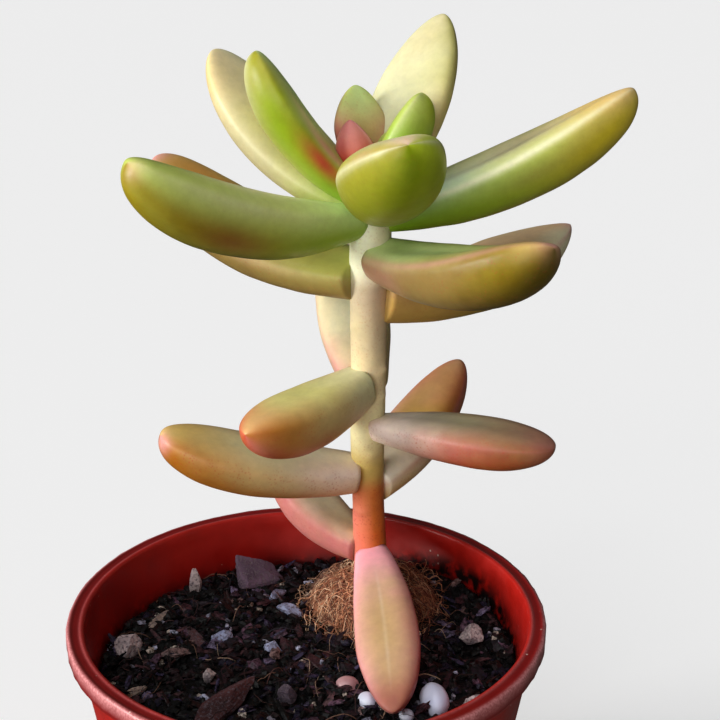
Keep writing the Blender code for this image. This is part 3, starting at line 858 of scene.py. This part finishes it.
crumbs = crumb_finish()
for name, seed, count, sizes, tones, slot in (
    ("peat_crumbs", 3, CRUMBS, ((0.7, 2.2), (0.6, 1.6), (0.4, 1.2)), DARK_TONES, "potting_mix"),
    ("bark_shreds", 5, SHREDS, ((2, 5.5), (0.5, 1.3), (0.2, 0.6)), SHRED_TONES, "bark_brown"),
    ("bark_flakes", 9, FLAKES, ((1.6, 4), (1.0, 2.6), (0.4, 1.2)), FLAKE_TONES, "bark_grey"),
    ("perlite_grains", 7, GRAINS, ((0.5, 1.9), (0.4, 1.4), (0.3, 1.1)), GRAIN_TONES, "white_stone"),
):
    strewn(name, seed, count, sizes, tones, crumbs, slot)


def make_loose_fibres():
    """Thin fibres on the mix: each turns steadily one way and rises in a bow between its ends."""
    draw = np.random.default_rng(23)
    start = strewn_places(draw, LOOSE_FIBRES, 0.4)
    count = len(start)
    length = draw.uniform(2.5, 8, count)[:, None] * MM
    walked = np.linspace(-0.5, 0.5, LOOSE_POINTS) * length
    heading = draw.uniform(0, tau, count)[:, None]
    heading = heading + walked * draw.uniform(-1, 1, count)[:, None] * LOOSE_CURL
    ahead = np.stack([np.cos(heading), np.sin(heading)])
    x, y = start.T[..., None] + np.cumsum(ahead, 2) * length / (LOOSE_POINTS - 1)
    x, y = kept_inside(x, y, 0.3 * MM)
    high = draw.uniform(0.2, 1.3, count)[:, None]
    bow = np.sin(np.linspace(0, tau / 2, LOOSE_POINTS)) * high * MM
    paths = np.stack([x, y, soil_height(x, y) + 0.25 * MM + bow], -1)
    strands = strand_grids(paths, draw.uniform(0.03, 0.08, count) * MM, 4)
    paint = coloured_by_turns(draw, count, LOOSE_TONES)[:, None, None]
    make_piece("loose_fibres", strands, coir, "coir_fibre", paint=paint)


make_loose_fibres()

# The stem: one soft, fleshy shoot that leans a little forward. Waxy and nearly smooth, cream
# under the crown, olive half-way and flushed red at the foot, with scars where leaves fell.
STEM = (  # height, x, y and radius, in millimetres
    (32, 9.4, 16.5, 2.4),
    (46, 9.1, 16.0, 2.6),
    (56, 8.5, 15.0, 2.35),
    (64, 8.2, 14.2, 2.25),
    (72, 8.1, 13.2, 2.4),
    (84, 8.2, 11.6, 2.45),
    (94, 8.1, 10.4, 2.5),
    (101, 8.3, 9.6, 2.8),
    (106, 8.5, 9.3, 2.4),
    (109, 8.4, 9.2, 1.4),
)
STEM_TONES = (  # height in millimetres, and colour
    (46, (200, 88, 62)),
    (56, (212, 104, 46)),
    (63, (200, 108, 54)),
    (67, (206, 176, 100)),
    (73, (232, 222, 174)),
    (82, (236, 212, 168)),
    (88, (212, 194, 156)),
    (94, (196, 178, 150)),
    (98, (252, 252, 218)),
    # Painted light: the near-white at 98 and 103 mm lightens the stem where the crown's leaves shade
    # it.
    (103, (254, 254, 222)),
    (107, (220, 230, 164)),
)
SCARS = (  # height in millimetres, course in degrees, and rise in millimetres
    (82.7, -30, 0.3),
    (78.6, -35, 0.28),
    (89, -150, 0.2),
    (69.5, -70, 0.2),
    (60, -120, 0.22),
    (95.5, -60, 0.15),
)
FOOT_ROSE = (232, 128, 128)
SIDE_ROSE = (222, 168, 140)
FRECKLE = (176, 62, 48)
WAX = (206, 208, 96)
STEM_RINGS = 260
STEM_SIDES = 56


def waxy_finish(name, bloom, glow, gloss):
    """Living skin: the paint over soft flesh, freckled where the mask says, dusted with wax.

    bloom is the share of the powdery wax that pales the colour in patches. glow is how much of
    the light passes under the skin, and gloss is its roughness.
    """
    material, add, shade = new_finish(name)
    pits = cells(add, 0.42 * MM)
    drift = spread(add, cloud(add, 2.2 * MM, 4), 0.35, 0.65)
    freckle = product(add, mask(add, "freckle"), drift)
    freckle = product(add, freckle, spread(add, pits, 0.1, 0.42, 1, 0))
    colour = mixed(add, freckle, mask(add, "paint", "Color"), tint(*FRECKLE))
    wax = spread(add, cloud(add, 3.5 * MM, 5, 0.6), 0.35, 0.75, 0, bloom)
    colour = mixed(add, wax, colour, tint(*WAX))
    mottle = spread(add, cloud(add, 1.2 * MM, 5, 0.6), 0.3, 0.7, 0.93, 1.06)
    soft = relief(add, cloud(add, 1.1 * MM, 4), 0.1, 0.25 * MM)
    skin = relief(add, pits, 0.06, 0.06 * MM, soft)
    roughness = spread(add, cloud(add, 1.6 * MM, 4), 0.3, 0.7, gloss - 0.05, gloss + 0.09)
    shade({"Base Color": scaled(add, colour, mottle), "Roughness": roughness, "Normal": skin})
    shade({"Subsurface Weight": glow, "Subsurface Radius": (1.0, 0.7, 0.35)})
    shade({"Subsurface Scale": 1.6 * MM, "Specular IOR Level": 0.24})
    return material


def stops(at, table):
    """Colours between those of a table of (place, tone), eased from each to the next."""
    places = np.array([place for place, _ in table], float)
    colours = np.array([tint(*tone) for _, tone in table])
    index = np.clip(np.searchsorted(places, at) - 1, 0, len(places) - 2)
    share = np.clip((at - places[index]) / (places[index + 1] - places[index]), 0, 1)
    share = (share * share * (3 - 2 * share))[..., None]
    return laid_over(colours[index], share, colours[index + 1])


def stem_line(height):
    """The stem's middle and radius at heights in metres, straight between the listed ones."""
    heights, x, y, radius = np.array(STEM).T * MM
    middle = np.stack([np.interp(height, heights, x), np.interp(height, heights, y), height], -1)
    return middle, np.interp(height, heights, radius)


def eased(values, reach):
    """Values along a line, each the mean of those within reach steps, with the ends held."""
    padded = np.pad(values, ((reach, reach), (0, 0)), mode="edge")
    total = np.cumsum(np.vstack([0 * padded[:1], padded]), axis=0)
    return (total[2 * reach + 1 :] - total[: -2 * reach - 1]) / (2 * reach + 1)


def make_stem(finish):
    """The stem: rings round its line, with faint ribs, swellings and a low bump at each scar."""
    height = np.linspace(STEM[0][0], STEM[-1][0], STEM_RINGS) * MM
    middle, radius = stem_line(height)
    line = eased(np.column_stack([middle, radius]), 9)
    line[:, 2] = height
    angle = round_ring(STEM_SIDES)
    level = height[:, None]
    out = np.stack([np.cos(angle), np.sin(angle), 0 * angle], -1)
    place = [np.cos(angle) + 0 * level, np.sin(angle) + 0 * level, level / (9 * MM) + 0 * angle]
    place = np.stack(place, -1)
    swell = 0.09 * lumps(place, 1.0, 3) + 0.04 * lumps(place * (1, 1, 2.5), 0.5, 4)
    for scar, course, rise in SCARS:
        turned = (angle - radians(course) + tau / 2) % tau - tau / 2
        near = ((level - scar * MM) / (0.55 * MM)) ** 2 + (turned / 0.38) ** 2
        swell = swell + rise * np.exp(-near)
    round_off = np.sqrt(np.clip((height[-1] - height) / (1.2 * MM), 0, 1))[:, None]
    grid = line[:, None, :3] + ((line[:, 3:] + swell * MM) * round_off)[..., None] * out
    paint = stops(height / MM, STEM_TONES)[:, None] + 0 * out
    left = np.clip(-np.cos(angle - radians(20)), 0, 1)[None, :, None]
    low = np.clip((66 * MM - height) / (6 * MM), 0, 1)[:, None, None]
    paint = laid_over(paint, 0.55 * left * low, tint(*FOOT_ROSE))
    right = np.clip(np.cos(angle + radians(50)), 0, 1)[None, :, None] ** 3
    high = np.clip((height - 84 * MM) / (8 * MM), 0, 1)[:, None, None]
    paint = laid_over(paint, 0.35 * right * high, tint(*SIDE_ROSE))
    masks = {"freckle": 0.25 + 0.5 * low[..., 0] + 0 * angle}
    make_piece("stem_shoot", grid[None], finish, "stem_skin", ["stem"], paint[None], masks)


make_stem(waxy_finish("stem_skin", 0.08, 0.25, 0.42))

# The leaves: thick and waxy, each grown from the stem and clasping it, flat or dished above
# and deep below. Sun has turned their margins and tips, and some whole sides, to copper and
# rose, and shaded sides stayed green or cream. They hold by their narrow necks alone.
ROOT_OUT = 1.6 * MM
NECK_THICKER = 0.15
FLAT_SHARE = 0.32
LEAF_RINGS = 96
LEAF_SIDES = 68
MIDRIB_STEPS = 240

# The tones of the leaves: red, green and blue from 0 to 255.
PEAT = (88, 72, 8)
CHESTNUT = (132, 80, 42)
KHAKI = (124, 100, 8)
FLAME = (186, 68, 22)
OCHRE = (166, 98, 22)
BRICK = (164, 88, 76)
MAUVE = (154, 102, 100)
BRONZE = (142, 116, 66)
CORAL = (194, 96, 70)
GREEN = (128, 146, 8)
OLIVE = (144, 140, 68)
CLAY = (168, 124, 102)
ROSE = (194, 116, 114)
MOSS = (154, 150, 48)
FAWN = (184, 140, 110)
AMBER = (190, 148, 82)
DUN = (166, 156, 124)
SAGE = (164, 170, 84)
GRASS = (146, 186, 60)
BLUSH = (208, 148, 138)
SAND = (196, 170, 114)
APRICOT = (212, 164, 110)
PINK = (230, 158, 160)
LIME = (182, 196, 100)
PEACH = (216, 182, 142)
ASH = (202, 192, 148)
GOLD = (224, 190, 114)
STRAW = (216, 210, 134)
PALE = (214, 212, 172)
CREAM = (224, 208, 166)
ACID = (220, 236, 78)
IVORY = (240, 236, 200)
WHITE = (250, 240, 222)
RED = (178, 52, 48)
DUSK = (104, 104, 20)
FERN = (136, 170, 26)
MUSTARD = (148, 130, 22)
HONEY = (212, 190, 32)
LEEK = (186, 206, 50)
CELERY = (202, 224, 148)
OAT = (194, 160, 126)
PAINTED_LIGHT_PEARL = (255, 232, 224)
FROST = (228, 246, 226)
BLOSSOM = (248, 172, 188)


@dataclass
class Leaf:
    """One leaf: the CAD's values in millimetres and degrees, then its look.

    height is where its midrib starts on the stem's line, heading its course there, swing the
    turn of that course by the tip, pitch its rise at root and tip, roll its tilt about the
    midrib at the tip, and twist how much more it is tilted at the root. tip, widest and neck
    shape the outline, and dish is how hollow the upper face is, as a share of the thickness.
    left, upper, right and under hold the colours at root, middle and tip along the margin to
    the left of its course, the upper face, the right margin and the belly. rim is a thinner
    line along both margins: its colour, strength and width. midline is the strength of a pale
    line on the upper face. A flush is a soft patch: (colour, place along the leaf, angle round
    it, reach along, reach round, strength), where the angle is 0 on the left margin, 90 on the
    upper face, 180 on the right margin and 270 on the belly.
    """

    node: str
    height: float
    heading: float
    pitch: tuple
    length: float
    width: float
    thickness: float
    swing: float = 0
    roll: float = 0
    tip: float = 2.0
    widest: float = 0.55
    neck: float = 0.5
    twist: float = 0
    left: tuple = (PALE, PALE, PALE)
    upper: tuple = (PALE, PALE, PALE)
    right: tuple = (PALE, PALE, PALE)
    under: tuple = (PALE, PALE, PALE)
    rim: tuple = (IVORY, 0.0, 0.2)
    midline: float = 0.0
    flushes: tuple = ()
    freckle: float = 0.1
    dish: float = 0.05
    slot: str = "leaf_green"


LEAVES = (
    Leaf("leaf_crown_inner", 108.3, 345, (60, 63), 13.7, 9, 5.5, 0, 0, 2.2,
         left=(MOSS, SAGE, LIME), upper=(SAGE, SAGE, LIME), right=(FERN, GRASS, LIME),
         under=(FERN, GRASS, LEEK),
         rim=(PALE, 0.3, 0.2), flushes=((ROSE, 0.1, 120, 0.3, 50, 0.4),)),
    Leaf("leaf_crown_front", 108, 277, (16, 24), 25.5, 13, 9.5, 4, 11, 1.8, 0.6,
         left=(GRASS, LEEK, LEEK), upper=(SAGE, STRAW, CREAM), right=(GRASS, MOSS, MOSS),
         under=(FERN, GREEN, GREEN),
         rim=(IVORY, 0.5, 0.13),
         flushes=((PINK, 1.0, 90, 0.05, 60, 0.3), (BLUSH, 0.85, 160, 0.1, 12, 0.3))),
    Leaf("leaf_crown_left", 106.4, 187.5, (40.5, 63), 24.4, 10, 6.2, 6, -8, 1.95, 0.64,
         left=(GRASS, FERN, MOSS), upper=(LIME, CELERY, CELERY), right=(LIME, LIME, STRAW),
         under=(GRASS, SAGE, SAGE),
         flushes=((FERN, 0.55, 340, 0.26, 20, 0.8), (RED, 0.36, 356, 0.19, 20, 0.95),
                  (BLUSH, 0.4, 34, 0.18, 15, 0.85), (PEACH, 0.6, 46, 0.14, 12, 0.5),
                  (IVORY, 0.95, 280, 0.2, 30, 0.4))),
    Leaf("leaf_crown_back_right", 106, 52.5, (60, 56), 27.9, 11.9, 6.3, -4.5, 1, 1.7, 0.53,
         left=(ASH, PALE, PALE), upper=(ASH, PALE, ASH), right=(LIME, STRAW, OLIVE),
         under=(ASH, ASH, ASH),
         rim=(STRAW, 0.4, 0.2), flushes=((PINK, 0.35, 170, 0.2, 40, 0.4),), slot="leaf_cream"),
    Leaf("leaf_crown_back_left", 105.3, 158.5, (28, 52.5), 30.7, 12.5, 6.7, -5, -16, 1.85, 0.51,
         left=(LIME, ASH, CREAM), upper=(CELERY, STRAW, CREAM), right=(STRAW, PALE, PALE),
         under=(LIME, ASH, GOLD),
         rim=(IVORY, 0.3, 0.12), flushes=((GOLD, 0.9, 350, 0.15, 70, 0.5),),
         slot="leaf_cream"),
    Leaf("leaf_crown_right", 104.7, 7, (14, 34), 38.5, 12.1, 8.6, 4, -13, 2.1, 0.57, 0.34, 25,
         left=(SAGE, SAGE, STRAW), upper=(CELERY, ASH, GOLD), right=(GRASS, LIME, GOLD),
         under=(FERN, MUSTARD, HONEY),
         dish=0.12,
         # The frost patch at the root of its upper face is its pale bloom, lightened further as
         # painted light where the leaves in front shade it.
         flushes=((FROST, 0.15, 125, 0.2, 50, 0.9), (IVORY, 0.5, 158, 0.5, 10, 0.8),
                  (FERN, 0.3, 215, 0.4, 30, 0.85), (HONEY, 0.85, 208, 0.3, 28, 0.85),
                  (PEACH, 1.0, 120, 0.1, 90, 0.5), (BRONZE, 0.55, 196, 0.12, 10, 0.3))),
    Leaf("leaf_crown_far_left", 104.8, 206, (-3, 33), 35.5, 11.2, 9.2, 14, -2, 2.2, 0.57, 0.3, 4,
         left=(CELERY, LIME, LIME), upper=(CELERY, PALE, LIME), right=(GRASS, LIME, LIME),
         under=(FERN, DUSK, MUSTARD),
         flushes=((MUSTARD, 0.75, 320, 0.5, 24, 0.9), (FERN, 0.2, 318, 0.25, 28, 0.9),
                  (PALE, 0.6, 8, 0.35, 14, 0.5), (CHESTNUT, 0.6, 318, 0.14, 22, 0.8),
                  (PINK, 1.0, 350, 0.03, 60, 0.3))),
    Leaf("leaf_collar_right", 99.6, 313.5, (-6, 25.5), 31.2, 11.4, 8.2, 0, -14, 2, 0.62, 0.48, 36,
         left=(OLIVE, BRONZE, BRONZE), upper=(CELERY, SAGE, FAWN), right=(CLAY, BRONZE, KHAKI),
         under=(BRONZE, PEAT, PEAT),
         dish=0.1, freckle=0.3, slot="leaf_copper",
         # Painted light: the celery patch near the root of its upper face lightens it where the
         # leaves above shade it.
         flushes=((CELERY, 0.3, 95, 0.4, 38, 0.95), (BLUSH, 0.5, 152, 0.45, 10, 0.6),
                  (PALE, 0.14, 235, 0.22, 12, 0.6), (MUSTARD, 0.8, 200, 0.15, 20, 0.3),
                  (GOLD, 0.97, 165, 0.07, 30, 0.6), (PINK, 1.0, 90, 0.03, 120, 0.5))),
    Leaf("leaf_collar_back_left", 96.5, 147, (0, 40), 38.7, 13.2, 8.3, 6, -14, 2, 0.6, 0.55,
         left=(BRONZE, BRONZE, BRONZE), upper=(SAGE, AMBER, GOLD), right=(LIME, LIME, GOLD),
         under=(BRONZE, BRONZE, BRONZE),
         rim=(PEACH, 0.5, 0.2), freckle=0.3, slot="leaf_copper",
         flushes=((OCHRE, 0.8, 100, 0.3, 60, 0.7), (SAGE, 0.15, 30, 0.2, 40, 0.6),
                  (PINK, 1.0, 0, 0.04, 180, 0.9))),
    # Painted light: the ivory tip of its right margin and the peach tip of its belly lighten it where
    # it lies in shade.
    Leaf("leaf_collar_back_right", 93.8, 32, (-4, 24), 35, 12.3, 9, -5, 1, 1.55, 0.62, 0.55,
         left=(FAWN, SAND, ASH), upper=(SAND, PEACH, PEACH), right=(AMBER, AMBER, IVORY),
         under=(AMBER, MUSTARD, PEACH),
         rim=(PINK, 0.4, 0.2), flushes=((PINK, 1.0, 180, 0.05, 180, 0.7),), freckle=0.3,
         slot="leaf_copper"),
    Leaf("leaf_middle_front_left", 81.5, 220, (-16, 2), 23, 10.5, 8.5, 12, 3, 1.8, 0.6,
         left=(PALE, SAND, OCHRE), upper=(PALE, STRAW, APRICOT), right=(PEACH, SAND, CORAL),
         under=(PEACH, CORAL, FLAME),
         freckle=0.4, slot="leaf_cream",
         flushes=((ROSE, 0.96, 300, 0.1, 50, 0.6), (OCHRE, 0.85, 350, 0.2, 50, 0.4))),
    Leaf("leaf_middle_back", 79, 101, (27, 62), 29, 10.5, 7.5, 2, 0, 2.2, 0.5,
         left=(BLUSH, CREAM, IVORY), upper=(CREAM, IVORY, IVORY), right=(ASH, ASH, PALE),
         under=(ASH, ASH, PALE),
         rim=(PINK, 0.3, 0.14), slot="leaf_cream"),
    # Painted highlight: the white roots of its upper face and right margin, and the pearl patch at
    # its root, lighten it where the stem shades it.
    Leaf("leaf_middle_right", 74, 331, (7, -1), 28, 11, 6.5, 0, 0, 2, 0.6, 0.4,
         left=(BLUSH, FAWN, MAUVE), upper=(WHITE, DUN, CLAY), right=(WHITE, BRICK, CHESTNUT),
         under=(CREAM, CHESTNUT, CHESTNUT),
         rim=(ROSE, 0.2, 0.12), freckle=0.6, slot="leaf_rose",
         flushes=((PAINTED_LIGHT_PEARL, 0.05, 160, 0.3, 90, 1.0), (FLAME, 0.6, 222, 0.35, 24, 0.45),
                  (ROSE, 1.0, 90, 0.1, 180, 0.5))),
    # Painted light: the pearl patch near its root lightens it where the stem shades it.
    Leaf("leaf_middle_left", 66.5, 191, (5, 24), 30.5, 11, 7.8, 5, -9, 2.2, 0.6,
         left=(PEACH, SAND, OCHRE), upper=(WHITE, PALE, GOLD), right=(CHESTNUT, MAUVE, AMBER),
         under=(APRICOT, OCHRE, OCHRE),
         rim=(APRICOT, 0.3, 0.2), freckle=0.6, slot="leaf_copper",
         flushes=((OCHRE, 0.55, 318, 0.55, 26, 0.65), (PINK, 1.0, 0, 0.035, 90, 0.8),
                  (PAINTED_LIGHT_PEARL, 0.1, 30, 0.25, 45, 0.85), (PEACH, 0.02, 340, 0.08, 60, 0.7))),
    # Painted light: the white roots of its upper face and right margin lighten it where the stem
    # shades it.
    Leaf("leaf_low_back_right", 63.5, 57, (17, 40), 28, 10, 8, -8, 2, 1.8, 0.5,
         left=(PINK, BLUSH, CORAL), upper=(WHITE, AMBER, FAWN), right=(WHITE, OCHRE, CORAL),
         under=(GOLD, AMBER, CORAL),
         rim=(ROSE, 0.6, 0.2), freckle=0.4, slot="leaf_rose",
         flushes=((GOLD, 0.15, 215, 0.2, 40, 0.8), (OCHRE, 0.85, 100, 0.15, 60, 0.4))),
    Leaf("leaf_low_back_left", 53.5, 142, (8, 55), 24, 9, 7, -2, 0, 1.8, 0.5,
         left=(ROSE, ROSE, ROSE), upper=(CREAM, IVORY, PALE), right=(BLUSH, PEACH, PEACH),
         under=(BRICK, ROSE, ROSE),
         rim=(ROSE, 0.55, 0.16), freckle=0.4, slot="leaf_rose"),
    Leaf("leaf_low_front", 53.5, 279, (-10, -15), 33, 8.8, 6, -8, 14, 1.8, 0.6,
         left=(BLOSSOM, ROSE, ROSE), upper=(BLOSSOM, OAT, OAT), right=(BLOSSOM, PINK, PINK),
         under=(BLOSSOM, PINK, BLUSH),
         rim=(ROSE, 0.85, 0.16), midline=0.2, freckle=0.5, slot="leaf_rose",
         flushes=((AMBER, 0.6, 95, 0.3, 40, 0.35), (BRICK, 0.98, 90, 0.12, 180, 0.9),
                  (BLOSSOM, 0.05, 90, 0.1, 180, 0.8))),
)


def leaf_grid(leaf, rings=LEAF_RINGS, sides=LEAF_SIDES):
    """The skin of a leaf, and along, across and rise for each of its points.

    The midrib leaves the stem's line at its heading and pitch, which turn evenly to the tip.
    The half width is a quarter sine from the neck to the widest place, and closes to the tip
    as a superellipse. The section is a half ellipse, shallow above the margins and deep below
    them, and its upper face is dished by a bell across the midrib.
    """
    steps = np.linspace(0, 1, MIDRIB_STEPS + 1)
    heading = np.radians(leaf.heading + leaf.swing * steps)
    pitch = np.radians(leaf.pitch[0] + (leaf.pitch[1] - leaf.pitch[0]) * steps)
    level = np.cos(pitch)
    along = np.stack([level * np.cos(heading), level * np.sin(heading), np.sin(pitch)], -1)
    across = np.stack([-np.sin(heading), np.cos(heading), 0 * heading], -1)
    upward = np.cross(along, across)
    walked = np.cumsum((along[1:] + along[:-1]) / 2, axis=0) * leaf.length * MM / MIDRIB_STEPS
    midrib = stem_line(leaf.height * MM)[0] + np.vstack([np.zeros(3), walked])

    root = ROOT_OUT / (leaf.length * MM)
    share = np.arange(rings) / rings
    place = 1 - (1 - root) * (1 - share) ** 1.9
    before = np.sin(tau / 4 * np.clip(place / leaf.widest, 0, 1))
    after = np.clip((place - leaf.widest) / (1 - leaf.widest), 0, 1)
    closing = (1 - after**leaf.tip) ** (1 / leaf.tip)
    half_width = leaf.width / 2 * MM * (leaf.neck + (1 - leaf.neck) * before) * closing
    thick_neck = leaf.neck + NECK_THICKER
    depth = leaf.thickness * MM * (thick_neck + (1 - thick_neck) * before) * closing

    def at_places(values):
        return np.stack([np.interp(place, steps, column) for column in values.T], -1)

    roll = np.radians(leaf.roll + leaf.twist * (1 - place))[:, None]
    across, upward, middle = at_places(across), at_places(upward), at_places(midrib)
    side = across * np.cos(roll) + upward * np.sin(roll)
    face = upward * np.cos(roll) - across * np.sin(roll)
    angle = round_ring(sides)
    out, up = np.cos(angle), np.sin(angle)
    sideways = half_width[:, None] * out
    above = np.clip(up, 0, 1) ** 0.85 * FLAT_SHARE
    hollow = leaf.dish * bell(out, 0.5) * (up > 0) * up
    hollow = hollow * np.sin(tau / 2 * np.clip(place, 0, 1))[:, None] ** 0.5
    upwards = depth[:, None] * (above - hollow - (1 - FLAT_SHARE) * np.clip(-up, 0, 1))
    grid = middle[:, None] + sideways[..., None] * side[:, None]
    grid = grid + upwards[..., None] * face[:, None]
    seed = leaf.height + leaf.heading
    uneven = 0.16 * lumps(grid, 8 * MM, seed) + 0.05 * lumps(grid, 2.6 * MM, seed + 1)
    away = grid - middle[:, None]
    away /= np.linalg.norm(away, axis=-1, keepdims=True) + 1e-9
    fade = np.clip(closing, 0, 1)[:, None, None] ** 0.5
    grid = grid + uneven[..., None] * MM * fade * away
    return grid, place[:, None] + 0 * out, out + 0 * place[:, None], up + 0 * place[:, None]


def leaf_paint(leaf, along, out, up, grid):
    """The colours of a leaf: four courses blended round it, then margins, midline, flushes."""
    drift = 0.07 * lumps(grid, 5 * MM, leaf.heading) + 0.03 * lumps(grid, 1.6 * MM, leaf.height)
    courses = [
        stops(along + drift, list(zip((0.05, 0.5, 0.95), tones)))
        for tones in (leaf.left, leaf.upper, leaf.right, leaf.under, leaf.left)
    ]
    angle = np.degrees(np.arctan2(up, out)) % 360
    turned = (angle + 140 * drift) % 360
    colour = 0
    for number, tone in enumerate(courses):
        share = np.clip(1 - np.abs(turned / 90 - number), 0, 1)
        share = share * share * (3 - 2 * share)
        colour = colour + tone * share[..., None]
    tone, strength, reach = leaf.rim
    rim = strength * bell(up - 0.1, reach) * np.clip(along * 4, 0, 1)
    colour = laid_over(colour, rim[..., None], tint(*tone))
    line = leaf.midline * bell(out, 0.05) * (up > 0) * np.clip(4 * along - 0.6, 0, 1)
    line = line * np.clip(4 - 4 * along, 0, 1)
    colour = laid_over(colour, line[..., None], tint(*WHITE))
    for tone, place, course, reach, width, strength in leaf.flushes:
        turned = (angle - course + 180) % 360 - 180
        patch = np.exp(-(((along - place) / reach) ** 2) - (turned / width) ** 2) * strength
        colour = laid_over(colour, patch[..., None], tint(*tone))
    return colour


skins = {
    "leaf_green": waxy_finish("leaf_green", 0.06, 0.2, 0.36),
    "leaf_cream": waxy_finish("leaf_cream", 0.08, 0.22, 0.4),
    "leaf_copper": waxy_finish("leaf_copper", 0.06, 0.2, 0.38),
    "leaf_rose": waxy_finish("leaf_rose", 0.08, 0.2, 0.42),
}
for leaf in LEAVES:
    grid, along, out, up = leaf_grid(leaf)
    paint = leaf_paint(leaf, along, out, up, grid)[None]
    masks = {"freckle": leaf.freckle * np.clip(0.9 - up, 0, 1)}
    name = leaf.node + "_blade"
    make_piece(name, grid[None], skins[leaf.slot], leaf.slot, [leaf.node], paint, masks)

# The bud: the youngest leaves, still folded together at the tip of the stem and grown as one.
# The outer one is yellow-green above and flushed red below, and the small one in front is red.
BUD = (
    Leaf("bud", 107.5, 111, (64, 68), 14.5, 7.5, 4.5, 3, 0, 1.6, 0.6, 0.7,
         left=(RED, ROSE, LIME), upper=(RED, SAND, CELERY), right=(RED, BLUSH, LIME),
         under=(RED, BLUSH, CELERY),
         rim=(PINK, 0.3, 0.2),
         flushes=((RED, 0.4, 20, 0.2, 45, 0.85), (ROSE, 0.4, 160, 0.2, 40, 0.7),
                  (RED, 0.1, 90, 0.25, 90, 0.8))),
    Leaf("bud", 108, 225, (62, 70), 10, 6, 4, 0, 0, 1.5, 0.6, 0.6,
         left=(RED, RED, ROSE), upper=(RED, ROSE, BLUSH), right=(RED, ROSE, ROSE),
         under=(RED, RED, ROSE),
         rim=(PINK, 0.7, 0.14)),
    Leaf("bud", 108, 20, (70, 76), 7.5, 4.5, 3, 0, 0, 1.8, 0.6, 0.6,
         left=(BLUSH, SAGE, LIME), upper=(BLUSH, SAGE, LIME), right=(BLUSH, SAGE, LIME),
         under=(BLUSH, GREEN, ACID)),
    Leaf("bud", 108, 160, (74, 80), 7, 4, 2.8, 0, 0, 1.8, 0.6, 0.6,
         left=(BLUSH, SAGE, LIME), upper=(BLUSH, SAGE, LIME), right=(BLUSH, SAGE, LIME),
         under=(BLUSH, GREEN, ACID)),
)
BUD_RINGS = 60
BUD_SIDES = 44
folds = []
fold_paint = []
for leaf in BUD:
    grid, along, out, up = leaf_grid(leaf, BUD_RINGS, BUD_SIDES)
    folds.append(grid)
    fold_paint.append(leaf_paint(leaf, along, out, up, grid))
bud_look = {"paint": np.stack(fold_paint), "masks": {"freckle": 0.2}}
make_piece("bud_tip", np.stack(folds), skins["leaf_rose"], "leaf_rose", ["bud"], **bud_look)

# The studio: a wide pale floor, strong soft light from a low window on the left, weak ones from
# the front, from above and back up from the floor, and a dim room.
FLOOR_RADIUS = 12
FLOOR_CORNERS = 96
FLOOR_DROP = 0.0001
floor_angle = round_ring(FLOOR_CORNERS)
floor_x = FLOOR_RADIUS * np.cos(floor_angle)
floor_y = FLOOR_RADIUS * np.sin(floor_angle)
floor_points = np.column_stack([floor_x, floor_y, 0 * floor_x - FLOOR_DROP]).tolist()
floor_mesh = bpy.data.meshes.new("floor")
floor_mesh.from_pydata(floor_points, [], [tuple(range(FLOOR_CORNERS))])
floor = bpy.data.objects.new("floor", floor_mesh)
bpy.context.scene.collection.objects.link(floor)
floor_material, floor_add, floor_shade = new_finish("floor")
floor_shade({"Base Color": (0.6, 0.6, 0.61, 1), "Roughness": 0.9, "Specular IOR Level": 0.1})
floor_shade({"Emission Color": (1, 1, 1, 1), "Emission Strength": 0.42})
floor.visible_diffuse = False
floor.visible_glossy = False
floor.visible_shadow = False
floor_mesh.materials.append(floor_material)
floor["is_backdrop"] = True


def make_sun(name, way, strength, spread_angle, colour):
    """An even light that comes from a direction, as wide in the sky as the angle in degrees."""
    data = bpy.data.lights.new(name, "SUN")
    data.energy = strength
    data.angle = radians(spread_angle)
    data.color = colour
    light = bpy.data.objects.new(name, data)
    light.rotation_euler = Vector(way).to_track_quat("Z", "Y").to_euler()
    bpy.context.scene.collection.objects.link(light)


make_sun("window", (-0.94, -0.3, 0.21), 3.4, 24, (1, 0.98, 0.94))
make_sun("front", (-0.35, -0.9, 0.2), 1.25, 40, (1, 0.98, 0.94))
make_sun("above", (-0.35, -0.35, 0.87), 1.3, 50, (0.96, 0.98, 1))
make_sun("below", (0.1, -0.8, -0.5), 0.35, 90, (1, 0.98, 0.85))
room = bpy.data.worlds.new("room")
room.use_nodes = True
room_light = room.node_tree.nodes["Background"]
room_light.inputs["Color"].default_value = (1, 0.98, 0.9, 1)
room_light.inputs["Strength"].default_value = 0.06
bpy.context.scene.world = room
bpy.context.scene.view_settings.view_transform = "Standard"

# The sizes of the solids and of the dressed object.
look_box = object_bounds()
sizes = {
    "cad": [list(corner) for corner in cad_box],
    "visual": [list(corner) for corner in look_box],
}
